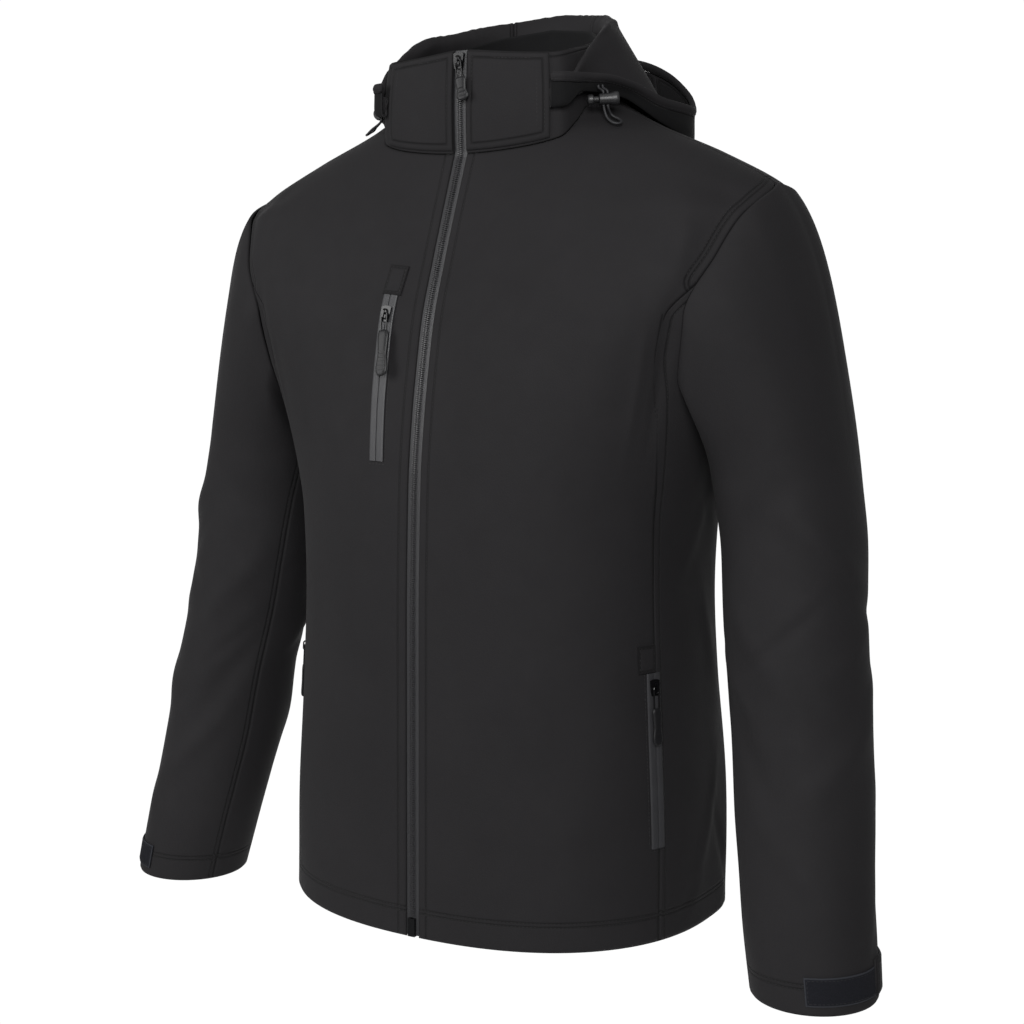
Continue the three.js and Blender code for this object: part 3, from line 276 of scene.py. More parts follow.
cord_finish = grained("braided_cord", (0.013, 0.013, 0.015), 0.6, (0.35, 1500), (5000, 2, 0.5, 0.1))
for name in ("left", "right"):
    route = along_route(CORD_ROUTE[name], np.linspace(0, 1, CORD_STEPS + 1))
    across, over = sides_of(route)
    angle = round_steps(CORD_SIDES)
    wind = 2 * np.pi * run_along(route)[:, None] / BRAID_PITCH
    braid = np.sin(BRAID_STRANDS / 2 * (angle + wind)) * np.sin(BRAID_STRANDS / 2 * (angle - wind))
    reach = (CORD_WIDE / 2 - BRAID_RISE / 2 + BRAID_RISE * np.abs(braid))[:, :, None]
    skin = route[:, None] + reach * (
        across[:, None] * np.cos(angle)[:, None] + over[:, None] * np.sin(angle)[:, None]
    )
    faces = tube_faces(len(route), CORD_SIDES)
    drawcord = put(f"drawcord_{name}_braid", skin, faces, cord_finish, "jacket")
    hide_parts(f"drawcord_{name}")

# Cord locks: a turned barrel of black plastic on each drawcord with a sprung plunger pushed into
# its end. They are squeezed by hand, so they stay as they are shown.
# Profiles: radius and distance along the shared axis, which is given with the cord's hole.
BARREL = [(0, 0), (3.4, 0), (4.0, 0.3), (4.3, 1), (4.6, 9), (5.1, 11), (5.6, 13), (5.6, 15), (5.2, 15.7),
          (4.4, 16), (0, 16)]
PLUNGER = [(0, 0), (2.2, 0.1), (3.3, 0.6), (4, 1.8), (4, 4.6), (3.5, 5.2), (2.4, 5.6), (2.4, 9.2), (0, 9.2)]
LOCK_HOLE = {"left": (109.78, -45.92, -5.20), "right": (-105.70, -41.63, -5.60)}
LOCK_AXIS = {"left": (0.7965, 0.6011, 0.0645), "right": (-0.6760, 0.7350, 0.0528)}
LOCK_SIDES = 40
BARREL_START = -5.5
PLUNGER_START = -15.0


def turned(node, part, profile, side, start):
    """A turned part of a cord lock in its solid's place, from start along the lock's axis."""
    axis = unit(np.array(LOCK_AXIS[side]))
    across = unit(np.cross(axis, (0, 0, 1)))
    over = np.cross(axis, across)
    angle = round_steps(LOCK_SIDES)
    spoke = np.cos(angle)[:, None] * across + np.sin(angle)[:, None] * over
    hole = np.array(LOCK_HOLE[side])
    skin = np.stack([hole + axis * (start + far) + spoke * max(reach, 0.01) for reach, far in profile])
    faces = outward_faces(skin, tube_faces(len(profile), LOCK_SIDES))
    piece = put(f"{node}_{part}", skin, faces, lock_plastic, "jacket", 35)
    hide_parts(node)


def outward_faces(skin, faces):
    """The faces of a closed skin, turned round if they look inwards."""
    flat = skin.reshape(-1, 3)
    a, b, c = (flat[[face[k] for face in faces]] for k in range(3))
    return [face[::-1] for face in faces] if (a * np.cross(b, c)).sum() < 0 else faces


lock_plastic = grained("lock_plastic", (0.012, 0.012, 0.013), 0.42, (0.2, 350), (2600, 2, 0.3, 0.08))
for name in ("left", "right"):
    turned(f"cord_lock_{name}", "barrel", BARREL, name, BARREL_START)
    turned(f"plunger_{name}", "button", PLUNGER, name, PLUNGER_START)

# Fronts: two panels of bonded softshell, a woven black face on microfleece, each cut from the zip
# to the armhole and side seam. Seams are sewn inside and topstitched; the hem is turned up.
CLOTH = 2
GAP = 0.3
HEM_Z = -672
NECK_Z = -46
ZIP_WIDTH = 11
# Level sections: height, half width, depth at centre front and back, y of the side, squareness.
BODY = np.array([
    (25, 50, 50, 50, 0, 2), (0, 95, 64, 64, 0, 2), (-20, 129, 74, 70, 2, 2),
    (-46, 189, 86, 82, 3, 2.05), (-73, 240, 97, 93, 0, 2.15), (-95, 262, 106, 102, -3, 2.3),
    (-131, 264, 120, 113, -4, 2.4), (-175, 243, 136, 119, -3, 2.4), (-206, 228, 143, 122, -2, 2.35),
    (-250, 207, 151, 125, 0, 2.3), (-300, 188, 157, 126, 0, 2.3), (-340, 179, 159, 127, 0, 2.32),
    (-400, 176, 161, 128, 0, 2.32), (-480, 180, 162, 129, 0, 2.32), (-570, 186, 163, 130, 0, 2.32),
    (HEM_Z, 190, 164, 131, 0, 2.32),
])
HALF, FRONT, BACK, SIDE, SQUARE = 1, 2, 3, 4, 5
# The armhole seam round from the shoulder by the front: its turn on the body and its height.
ARMHOLE = np.array([
    (0, 88, -72), (30, 78.5, -90), (60, 71.5, -127), (90, 66.3, -172), (120, 66.8, -217),
    (150, 76, -250), (180, 92, -262), (210, 109, -247), (240, 117.5, -208), (270, 117, -162),
    (300, 111.5, -118), (330, 101, -83), (360, 88, -72),
])
FRONT_NOTCH = 75
FRONT_HEM_TURN = 67.5
FRONT_SEAM = [
    (HEM_Z, FRONT_HEM_TURN), (-590, 68.2), (-430, 68.5), (-313, 67), (-238, 63.8), (-205, 62.2),
    (-176, 62.8),
]
SEAM_CROWDING = 0.75
ZIP_CROWDING = 0.95
NECKLINE = np.array([
    (0, -46), (15, -45), (32, -42), (48, -35), (57, -22), (66, -9), (76, -3), (86, -0.5), (110, 0),
    (145, -2), (180, -5),
])
NECK_POINT_TURN = 86
NECK_SHARE = 7 / 12
SEAM_SHARE = 15 / 20
# Folds: turn, height, slant, half length, half width, and rise, below zero for a trough. The
# first ones are in the solids, alike on both sides. The others are by signed turn, left above 0.
BODY_FOLDS = [
    (60, -150, 20, 70, 16, 3), (108, -560, 14, 90, 16, 3), (118, -300, -30, 80, 18, 3),
    (150, -230, 62, 90, 22, -3), (145, -520, 18, 110, 26, 3.5), (175, -430, 70, 100, 20, -3),
    (30, -330, 8, 120, 34, 1.5),
]
BODY_CREASES = [
    (66, -128, 14, 46, 5.5, 2.0), (72, -112, 22, 34, 6, -1.6), (76, -82, -52, 26, 9, -1.8),
    (-70, -118, -16, 44, 6, 1.7), (-76, -84, 48, 24, 8, -1.5), (86, -300, -24, 42, 8, -1.4),
    (84, -352, 30, 38, 9, 1.2), (94, -430, -18, 50, 10, 1.4), (88, -598, 24, 44, 7, 1.8),
    (98, -622, -20, 36, 6, -1.8), (80, -640, 40, 22, 5, -1.0), (-88, -330, 26, 44, 9, 1.4),
    (-94, -610, -22, 42, 8, 1.7), (-84, -450, 12, 60, 11, -1.2), (52, -520, 16, 70, 22, 0.8),
    (40, -210, -30, 54, 18, -0.7), (-36, -390, -14, 76, 22, -0.8), (20, -590, 34, 44, 15, 0.6),
    (-52, -560, 20, 64, 18, 0.9), (132, -150, 58, 60, 12, -2.0), (-128, -162, -54, 54, 11, -1.8),
    (152, -318, -64, 72, 14, 1.7), (-158, -352, 66, 66, 13, -1.9), (168, -520, 76, 70, 12, 1.6),
    (-172, -470, 80, 84, 13, -1.7), (-140, -590, -22, 70, 14, 2.0), (128, -640, 20, 40, 9, 1.3),
    (180, -160, 84, 60, 10, 1.2), (-164, -240, -70, 50, 9, 1.4), (176, -610, -80, 62, 11, -1.3),
    (63.2, -212, 2, 46, 4.5, -2.2), (58.5, -222, 4, 44, 4, 1.2), (-63.4, -206, -3, 42, 4.5, -2.0),
    (-58.8, -216, -5, 40, 4, 1.1),
]
BODY_MM_PER_DEGREE = 2.9
EDGE_ROLL = 1.1
EDGE_SOFT = 1.1
RIM_LINES = (0.02, 0.5, 1.0, 1.7, 2.6)
RIM_CLEAR = 3.4
FAR_OFF = 90.0  # mm, where a row of stitches no longer shows in the cloth
SIDES = (("left", 1), ("right", -1))


def read(rows, column, at):
    """A table's column at places between its rows, on a smooth line that never overshoots them."""
    rows = np.asarray(rows, float)
    if rows[0, 0] > rows[-1, 0]:
        rows = rows[::-1]
    x = rows[:, 0]
    y = rows[:, column]
    slope = np.diff(y) / np.diff(x)
    tangent = np.empty(len(x))
    tangent[0] = slope[0]
    tangent[-1] = slope[-1]
    rising = slope[:-1] * slope[1:] > 0
    tangent[1:-1] = np.where(
        rising, 2 * slope[:-1] * slope[1:] / np.where(rising, slope[:-1] + slope[1:], 1), 0
    )
    at = np.asarray(at, float)
    i = np.clip(np.searchsorted(x, at) - 1, 0, len(x) - 2)
    h = x[i + 1] - x[i]
    t = np.clip((at - x[i]) / h, 0, 1)
    return (
        (2 * t**3 - 3 * t**2 + 1) * y[i]
        + (t**3 - 2 * t**2 + t) * h * tangent[i]
        + (3 * t**2 - 2 * t**3) * y[i + 1]
        + (t**3 - t**2) * h * tangent[i + 1]
    )


def section_point(turn, wide, front, back, power, cx, cy, z):
    s = np.sin(np.radians(turn))
    c = np.cos(np.radians(turn))
    deep = np.where(c > 0, front, back)
    r = ((np.abs(s) / wide) ** power + (np.abs(c) / deep) ** power) ** (-1 / power)
    return np.stack([cx + r * s, cy - r * c, z + 0 * r], -1)


def fold_height(folds, turn, z, mm_per_degree):
    height = np.zeros(np.broadcast(turn, z).shape)
    for place, level, slant, half_long, half_wide, rise in folds:
        across = ((turn - place + 540) % 360 - 180) * mm_per_degree
        along = z - level
        s = math.sin(math.radians(slant))
        c = math.cos(math.radians(slant))
        u = (along * c + across * s) / half_long
        v = (across * c - along * s) / half_wide
        height += np.where(np.abs(u) < 2, rise * np.exp(-(v**2)) * np.cos(u * np.pi / 4) ** 2, 0)
    return height


def body_base(turn, z):
    side = read(BODY, SIDE, z)
    front = read(BODY, FRONT, z) + side
    back = read(BODY, BACK, z) - side
    return section_point(turn, read(BODY, HALF, z), front, back, read(BODY, SQUARE, z), 0, side, z)


def body_normal(turn, z):
    across = body_base(turn + 0.5, z) - body_base(turn - 0.5, z)
    up = body_base(turn, z + 1) - body_base(turn, z - 1)
    return unit(np.cross(across, up))


def either_side(turn):
    """A turn as if it were on the wearer's left: 0 in front, 180 behind."""
    return np.abs((turn + 540) % 360 - 180)


def body(turn, z, out=0.0, creases=BODY_CREASES):
    """A place on the body. Without creases it has its solid's folds alone."""
    turn = np.asarray(turn, float)
    z = np.asarray(z, float)
    reach = fold_height(BODY_FOLDS, either_side(turn), z, BODY_MM_PER_DEGREE)
    reach = reach + fold_height(creases, turn, z, BODY_MM_PER_DEGREE) + out
    return body_base(turn, z) + body_normal(turn, z) * reach[..., None]


def armhole(turn_round):
    r = np.asarray(turn_round, float) % 360
    return np.stack([read(ARMHOLE, 1, r), read(ARMHOLE, 2, r)], -1)


def body_seam(rows, notch):
    """A seam of the body from the hem, at share 0, up to its notch on the armhole, at share 1."""
    end = armhole(notch)
    table = [*rows, (end[1], end[0])]

    def at(share):
        z = HEM_Z + (end[1] - HEM_Z) * np.asarray(share, float) ** SEAM_CROWDING
        return np.stack([read(table, 1, z), z], -1)

    return at


def neck_z(turn):
    return read(NECKLINE, 1, either_side(np.asarray(turn, float)))


def blend(a, b, share):
    share = np.asarray(share, float)[..., None]
    return np.asarray(a) * (1 - share) + np.asarray(b) * share


def shoulder_seam(share):
    return blend((NECK_POINT_TURN, neck_z(NECK_POINT_TURN)), armhole(0), share)


def zip_edge(share):
    """The front edge beside the zip, from the hem up to the neck seam."""
    neck = math.degrees(math.atan2(ZIP_WIDTH / 2 + GAP, read(BODY, FRONT, NECK_Z)))
    z = HEM_Z + (neck_z(neck) - HEM_Z) * np.asarray(share, float) ** ZIP_CROWDING
    return np.stack([np.degrees(np.arctan2(ZIP_WIDTH / 2 + GAP, read(BODY, FRONT, z))), z], -1)


def joined(split, low, high):
    """An edge that runs along one line up to a share of it and then along another."""
    def at(share):
        share = np.asarray(share, float)
        first = low(np.clip(share / split, 0, 1))
        last = high(np.clip((share - split) / (1 - split), 0, 1))
        return np.where(share[:, None] < split, first, last)

    return at


def front_neck(share):
    start = zip_edge(1.0)[0]
    turn = start + (NECK_POINT_TURN - start) * share
    return np.stack([turn, neck_z(turn)], -1)


front_seam = body_seam(FRONT_SEAM, FRONT_NOTCH)
front_side_edge = joined(SEAM_SHARE, front_seam, lambda share: armhole(FRONT_NOTCH * (1 - share)))
front_top_edge = joined(NECK_SHARE, front_neck, shoulder_seam)


def hem_edge(start, end):
    return lambda share: blend((start, HEM_Z), (end, HEM_Z), share)


def shares(count, long, corners=()):
    """Even shares along an edge, with closer lines near its ends for the rolled seam edge."""
    rim = [mm / long for mm in RIM_LINES]
    clear = RIM_CLEAR / long
    even = [s for s in np.linspace(0, 1, count + 1) if clear < s < 1 - clear]
    return np.unique(np.round([*rim, *even, *corners, *(1 - r for r in rim)], 6))


def pattern(left, right, bottom, top, u, v):
    """Places on a panel, blended from its four edges at shares u across and v up."""
    a, b, c, d = left(v)[:, None], right(v)[:, None], bottom(u)[None], top(u)[None]
    u = u[None, :, None]
    v = v[:, None, None]
    ends = np.array([0.0, 1.0])
    low = bottom(ends)
    high = top(ends)
    corners = (low[0] * (1 - u) + low[1] * u) * (1 - v) + (high[0] * (1 - u) + high[1] * u) * v
    return a * (1 - u) + b * u + c * (1 - v) + d * v - corners


def gap_to(points, line):
    """Shortest distance from each point to a line of points."""
    flat = points.reshape(-1, 3)
    near = np.empty(len(flat), int)
    for k in range(0, len(flat), 2000):
        near[k:k + 2000] = ((flat[k:k + 2000, None] - line[None]) ** 2).sum(-1).argmin(1)
    best = np.full(len(flat), np.inf)
    for start in (near - 1, near):
        start = np.clip(start, 0, len(line) - 2)
        a = line[start]
        b = line[start + 1] - a
        t = np.clip(((flat - a) * b).sum(-1) / (b**2).sum(-1), 0, 1)
        best = np.minimum(best, np.linalg.norm(flat - a - b * t[:, None], axis=-1))
    return best.reshape(points.shape[:-1])


def rim_reach(grid):
    """Distance of each point of a grid from the grid's rim, along its own lines."""
    across = np.linalg.norm(np.diff(grid, axis=1), axis=-1)
    up = np.linalg.norm(np.diff(grid, axis=0), axis=-1)
    from_left = np.pad(np.cumsum(across, 1), ((0, 0), (1, 0)))
    from_low = np.pad(np.cumsum(up, 0), ((1, 0), (0, 0)))
    sides = np.minimum(from_left, from_left[:, -1:] - from_left)
    return np.minimum(sides, np.minimum(from_low, from_low[-1:] - from_low))


def shell_faces(rows, columns):
    """Quads of a closed wall between two grids, and which of them are on its inner side."""
    i, j = np.meshgrid(np.arange(rows - 1), np.arange(columns - 1), indexing="ij")
    a = (i * columns + j).ravel()
    far = rows * columns
    outer = np.stack([a, a + 1, a + columns + 1, a + columns], 1)
    inner = outer[:, ::-1] + far
    border = np.concatenate([
        np.arange(columns - 1), np.arange(rows - 1) * columns + columns - 1,
        rows * columns - 1 - np.arange(columns - 1), (rows - 1 - np.arange(rows - 1)) * columns,
    ])
    ahead = np.roll(border, -1)
    rim = np.stack([ahead, border, border + far, ahead + far], 1)
    return np.concatenate([outer, rim, inner]), len(outer) + len(rim)


def rolled(rim, deep=EDGE_ROLL, soft=EDGE_SOFT):
    """How far the cloth turns in, at distances from its rim."""
    return deep * np.exp(-((rim / soft) ** 2))


def cloth_shell(node, outer, inner, uv, lines, flat, area, rests=("back",), held="hung", look=None,
                slot="softshell"):
    """A cloth piece in its solid's place, from its face to its lining side; its cut's size is not used."""
    far = np.full(outer.shape[:2], FAR_OFF)
    lines = {"edge": rim_reach(outer), "one_row": far, "two_rows": far, **lines}
    faces, lining_from = shell_faces(*outer.shape[:2])
    points = np.concatenate([outer.reshape(-1, 3), inner.reshape(-1, 3)])
    a, b, c = points[faces[:, 0]], points[faces[:, 1]], points[faces[:, 2]]
    if (a * np.cross(b, c)).sum() < 0:
        faces = faces[:, ::-1]
    twice = {key: np.concatenate([value.ravel(), value.ravel() + FAR_OFF]) for key, value in lines.items()}
    both = np.concatenate([uv.reshape(-1, 2), uv.reshape(-1, 2)])
    piece = put(f"{node}_cloth", points, faces.tolist(), look or cloth, "jacket", 70, both, twice)
    index = np.zeros(len(faces), np.int32)
    index[lining_from:] = 1
    piece.data.polygons.foreach_set("material_index", index)
    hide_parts(node)


def reckon(node, operation, *values):
    """A sum that the material works out, from sockets and numbers."""
    return node("Math", dict(enumerate(values)), operation=operation).outputs[0]


def near_rim(node, near, far, share):
    """A share that holds up to near mm from a piece's rim and is gone at far mm."""
    reach = node("Attribute", {}, attribute_name="edge").outputs["Fac"]
    inputs = {"Value": reach, "From Min": near, "From Max": far, "To Min": share, "To Max": 0.0}
    return node("MapRange", inputs, interpolation_type="SMOOTHSTEP").outputs["Result"]


def woven(name, colour, roughness, weave_mm, sheen, grooves):
    """Cloth: a fine even weave in its own threads' direction, pulled down along stitch lines, with painted
    shade darkening its rims and stitch grooves.
    """
    material, node, shade, where, drift = finish_with(name, colour, roughness, 0.16, 14)
    threads = node("SeparateXYZ", {"Vector": node("UVMap", {}, uv_map="cloth").outputs["UV"]}).outputs
    per_mm = 2 * math.pi / weave_mm
    waves = [reckon(node, "SINE", reckon(node, "MULTIPLY", threads[way], per_mm)) for way in ("X", "Y")]
    fine = node("TexNoise", {"Vector": where, "Scale": 700, "Detail": 3, "Roughness": 0.6}).outputs["Fac"]
    slub = node("TexNoise", {"Vector": where, "Scale": 60, "Detail": 2}).outputs["Fac"]
    rough = node("MapRange", {"Value": slub, "To Min": roughness - 0.06, "To Max": roughness + 0.06})
    normal = bump(node, reckon(node, "MULTIPLY", *waves), 0.22, weave_mm * 0.1)
    normal = bump(node, fine, 0.5, 0.35, normal)
    # Painted shade: the colour is pulled down towards 15% of itself near the piece's rim, where it goes into
    # a seam, and along the middle of each stitch row's groove.
    dark = near_rim(node, 0.0, 1.3, 0.75)
    for key, rows in grooves:
        reach = node("Attribute", {}, attribute_name=key).outputs["Fac"]
        for row in rows:
            offset = reckon(node, "SUBTRACT", reach, row)
            narrow = reckon(node, "MULTIPLY", reckon(node, "MULTIPLY", offset, offset), -1.1)
            dip = reckon(node, "EXPONENT", narrow)
            dark = reckon(node, "MAXIMUM", dark, reckon(node, "MULTIPLY", dip, 0.6))
            normal = bump(node, dip, 1, 0.55, normal, invert=True)
    # The painted shade's colour, 15% of the cloth's own.
    deep = (*(c * 0.15 for c in colour), 1)
    shaded = node("Mix", {"Factor": dark, "A": drift, "B": deep}, data_type="RGBA").outputs["Result"]
    shade({"Base Color": shaded, "Roughness": rough.outputs["Result"], "Normal": normal})
    shade({"Sheen Weight": sheen, "Sheen Roughness": 0.45, "Specular IOR Level": 0.14})
    return material


SOFTSHELL_BLACK = (0.0128, 0.0121, 0.0131)
FLEECE_BLACK = (0.006, 0.006, 0.0064)
DOUBLE_ROW = 3.2
softshell = woven("softshell_face", SOFTSHELL_BLACK, 0.74, 0.62, 0.02,
                  (("one_row", (0,)), ("two_rows", (0, DOUBLE_ROW))))
fleece = woven("microfleece_back", FLEECE_BLACK, 0.95, 1.1, 0.03, ())
cloth = [softshell, fleece]

thread, node, shade, where, _ = finish_with("black_thread", (0.005, 0.005, 0.0055), 0.6, 0.3, 900)
twist = node("TexWave", {"Vector": where, "Scale": 900, "Distortion": 1.5}).outputs["Fac"]
shade({"Normal": bump(node, twist, 0.4, 0.1)})
STITCH_PITCH = 3.1
STITCH_THICK = 0.24
STITCH_SINK = 0.12
STITCH_SIDES = 5
# Along a stitch: place, share of its thickness and lift off the cloth.
STITCH_RINGS = ((-1.3, 0.3, -0.3), (-0.85, 0.9, -0.02), (0.85, 0.9, -0.02), (1.3, 0.3, -0.3))


def sew(name, runs):
    """A row of stitches along each run, given as its points and the cloth's outward direction."""
    corners = len(STITCH_RINGS) * STITCH_SIDES
    one = np.array(tube_faces(len(STITCH_RINGS), STITCH_SIDES, ends=False))
    angles = [2 * math.pi * (turn + 0.25) / STITCH_SIDES for turn in range(STITCH_SIDES)]
    stitches = []
    faces = []
    for line, out in runs:
        run = run_along(line)
        count = max(int(run[-1] / STITCH_PITCH), 1)
        middle = (np.arange(count) + 0.5) * run[-1] / count
        spot, before, after, up = (
            np.stack([np.interp(middle + shift, run, values[:, k]) for k in range(3)], -1)
            for values, shift in ((line, 0), (line, -0.6), (line, 0.6), (out, 0))
        )
        up = unit(up)
        along = unit(after - before)
        across = unit(np.cross(up, along))
        start = sum(len(s) for s in stitches) + np.arange(count) * corners
        faces += (start[:, None, None] + one[None]).reshape(-1, 4).tolist()
        stitches.append(np.stack([
            spot + along * far + up * (lift + STITCH_THICK * thick * math.sin(a))
            + across * (STITCH_THICK * thick * math.cos(a))
            for far, thick, lift in STITCH_RINGS for a in angles
        ], 1).reshape(-1, 3))
    return put(name, np.concatenate(stitches), faces, thread, "jacket", 80)


def beside(edge, mm):
    """The places on the body that lie mm to the left of an edge as one walks along it."""
    turn = edge[:, 0]
    z = edge[:, 1]
    wide = np.linalg.norm(body_base(turn + 0.5, z) - body_base(turn - 0.5, z), axis=-1)
    high = np.linalg.norm(body_base(turn, z + 0.5) - body_base(turn, z - 0.5), axis=-1)
    step_x = np.gradient(turn) * wide
    step_z = np.gradient(z) * high
    long = np.maximum(np.hypot(step_x, step_z), 1e-9)
    return np.stack([turn - step_z / long * mm / wide, z + step_x / long * mm / high], -1)


def on_body(places):
    """A sewing run along places on the body: its points and the outward direction."""
    return body(places[:, 0], places[:, 1], -STITCH_SINK), body_normal(places[:, 0], places[:, 1])


def mirror_turn(places, side):
    return places * (side, 1)


def from_seam(base, seam, side):
    """How far places on the body are from a seam that is given on the wearer's left."""
    return gap_to(base, body_base(*mirror_turn(seam, side).T))


def nearer(a, b):
    return np.where(np.abs(a) < np.abs(b), a, b)


def panel(node, places, lines, flat, area, **sheet):
    """A panel of the body with rolled edges and level threads."""
    turn, z = places[..., 0], places[..., 1]
    roll = rolled(rim_reach(body_base(turn, z)))
    uv = np.stack([turn * BODY_MM_PER_DEGREE, z], -1)
    turn = np.where(turn > 180, turn - 360, turn)
    cloth_shell(node, body(turn, z, -roll), body(turn, z, -CLOTH), uv, lines, flat, area, **sheet)


ARMHOLE_ROW = 6.5
PLACKET_ROW = 7.5
SEAM_ROW = 1.8
SEAM_ROW_TOP = -170
HEM_ROW = 21
ROW_END = 0.3  # degrees from a seam to the end of a hem's row
HEM_ROWS = (HEM_ROW, HEM_ROW + DOUBLE_ROW)
ARMHOLE_ROWS = (ARMHOLE_ROW, ARMHOLE_ROW + DOUBLE_ROW)
every = np.linspace(0, 1, 160)
middle = np.linspace(0.004, 0.996, 160)
for name, side in SIDES:
    u = shares(86, 190, (NECK_SHARE,))
    v = shares(150, 620, (SEAM_SHARE,))
    hem_start = zip_edge(0.0)[0]
    places = pattern(zip_edge, front_side_edge, hem_edge(hem_start, FRONT_HEM_TURN), front_top_edge, u, v)
    places = mirror_turn(places, side)
    z = places[..., 1]
    base = body_base(places[..., 0], z)
    from_front_seam = from_seam(base, front_seam(every), side) - SEAM_ROW
    from_placket = from_seam(base, zip_edge(every), side) - PLACKET_ROW
    from_armhole = from_seam(base, armhole(np.linspace(-4, FRONT_NOTCH, 90)), side) - ARMHOLE_ROW
    lines = {
        "one_row": np.minimum(from_placket, np.where(z < SEAM_ROW_TOP, from_front_seam, FAR_OFF)),
        "two_rows": nearer(from_armhole, z - HEM_Z - HEM_ROW),
    }
    panel(f"front_{name}", places, lines, (235, 665), 0.138)
    rows = [beside(armhole(np.linspace(0, FRONT_NOTCH, 90)), -mm) for mm in ARMHOLE_ROWS]
    rows += [beside(zip_edge(middle), -PLACKET_ROW), beside(shoulder_seam(middle), 2.0)]
    rows += [hem_edge(hem_start + 0.6, FRONT_HEM_TURN - ROW_END)(every) + (0, mm) for mm in HEM_ROWS]
    sew(f"front_{name}_stitches", [on_body(mirror_turn(row, side)) for row in rows])

# Side panels: one each side under the arm, from the front seam to the back seam, of the same
# softshell, topstitched beside the front seam.
BACK_NOTCH = 225
BACK_HEM_TURN = 112
BACK_SEAM = [(HEM_Z, BACK_HEM_TURN), (-430, 113), (-313, 113)]
SIDE_ROW = 5.5
back_seam = body_seam(BACK_SEAM, BACK_NOTCH)


def side_top_edge(share):
    return armhole(FRONT_NOTCH + (BACK_NOTCH - FRONT_NOTCH) * np.asarray(share, float))


for name, side in SIDES:
    hem = hem_edge(FRONT_HEM_TURN, BACK_HEM_TURN)
    places = pattern(front_seam, back_seam, hem, side_top_edge, shares(60, 150), shares(120, 460))
    places = mirror_turn(places, side)
    z = places[..., 1]
    from_front_seam = from_seam(body_base(places[..., 0], z), front_seam(every), side)
    lines = {"one_row": from_front_seam - SIDE_ROW, "two_rows": z - HEM_Z - HEM_ROW}
    panel(f"side_{name}", places, lines, (170, 510), 0.063)
    rows = [beside(front_seam(np.linspace(0.004, 0.97, 160)), -SIDE_ROW)]
    hem = hem_edge(FRONT_HEM_TURN + ROW_END, BACK_HEM_TURN - ROW_END)(every)
    rows += [hem + (0, mm) for mm in HEM_ROWS]
    sew(f"side_{name}_stitches", [on_body(mirror_turn(row, side)) for row in rows])

# Back: one panel from armhole to armhole and neck to hem, joined to the fronts by the shoulder
# seams and topstitched round the armholes as the fronts are.
BACK_SIDE_SHARE = 15 / 24
BACK_TIP_SHARE = 5 / 18
ALL_ROUND = 359.999


def back_armhole(share):
    return armhole(BACK_NOTCH + (ALL_ROUND - BACK_NOTCH) * share)


back_left_edge = joined(BACK_SIDE_SHARE, back_seam, back_armhole)


def across_back(places):
    return np.stack([360 - places[..., 0], places[..., 1]], -1)


def back_top_edge(share):
    share = np.asarray(share, float)
    tip = BACK_TIP_SHARE
    first = shoulder_seam(1 - np.clip(share / tip, 0, 1))
    turn = NECK_POINT_TURN + (360 - 2 * NECK_POINT_TURN) * np.clip((share - tip) / (1 - 2 * tip), 0, 1)
    neck = np.stack([turn, neck_z(turn)], -1)
    last = across_back(shoulder_seam(np.clip((share - 1 + tip) / tip, 0, 1)))
    share = share[:, None]
    return np.where(share < tip, first, np.where(share > 1 - tip, last, neck))


u = shares(150, 430, (BACK_TIP_SHARE, 1 - BACK_TIP_SHARE))
v = shares(150, 620, (BACK_SIDE_SHARE,))
places = pattern(back_left_edge, lambda share: across_back(back_left_edge(share)),
                 hem_edge(BACK_HEM_TURN, 360 - BACK_HEM_TURN), back_top_edge, u, v)
z = places[..., 1]
base = body_base(places[..., 0], z)
armhole_line = armhole(np.linspace(BACK_NOTCH, ALL_ROUND, 90))
from_armhole = np.minimum(from_seam(base, armhole_line, 1), from_seam(base, across_back(armhole_line), 1))
lines = {"two_rows": nearer(from_armhole - ARMHOLE_ROW, z - HEM_Z - HEM_ROW)}
panel("back", places, lines, (500, 680), 0.27, rests=("front_left_cloth", "front_right_cloth"))
rows = []
for mm in ARMHOLE_ROWS:
    row = beside(armhole_line, -mm)
    rows += [row, row * (-1, 1)]
for mm in HEM_ROWS:
    hem = hem_edge(BACK_HEM_TURN + ROW_END, 360 - BACK_HEM_TURN - ROW_END)(every) + (0, mm)
    rows.append(np.stack([np.where(hem[:, 0] > 180, hem[:, 0] - 360, hem[:, 0]), hem[:, 1]], -1))
sew("back_stitches", [on_body(row) for row in rows])

# Sleeves: set in and cut in two, a wide upper piece and a narrow under piece, with the forearm's
# topstitched seam turned to the front and soft creases at the elbow. The cuffs are turned in.
CUFF_Z = -688
SLEEVE_TOP_Z = -300
# The sleeve's sections on its lining side: height, x and y of the middle, half width, half depth
# and squareness.
SLEEVE = np.array([
    (-300, 250.5, -3.5, 53.5, 67, 2.2), (-350, 260, -10, 54, 60, 2.1), (-400, 265, -18, 54, 57, 2),
    (-450, 271, -25, 53.5, 55, 2), (-500, 279, -34, 52.5, 54, 2), (-555, 285.5, -43, 52, 53, 2),
    (-600, 292, -53, 50, 51, 2), (-640, 298.5, -62, 49, 50, 2), (CUFF_Z, 306.5, -70, 47, 48, 2),
])
CAP = np.array([  # round, way out, ahead and up, reach, hold
    (0, 0.72, 0, -0.69, 52, 100), (60, 0.46, 0.28, -0.84, 38, 76), (110, 0.36, 0.26, -0.9, 28, 38),
    (150, 0.6, 0.1, -0.8, 16, 18), (180, 0.62, 0, -0.78, 12, 14), (210, 0.6, -0.1, -0.8, 16, 18),
    (250, 0.36, -0.26, -0.9, 28, 38), (300, 0.46, -0.28, -0.84, 38, 76), (360, 0.72, 0, -0.69, 52, 100),
])
FRONT_ARM_SEAM = 150
BACK_ARM_SEAM = 240
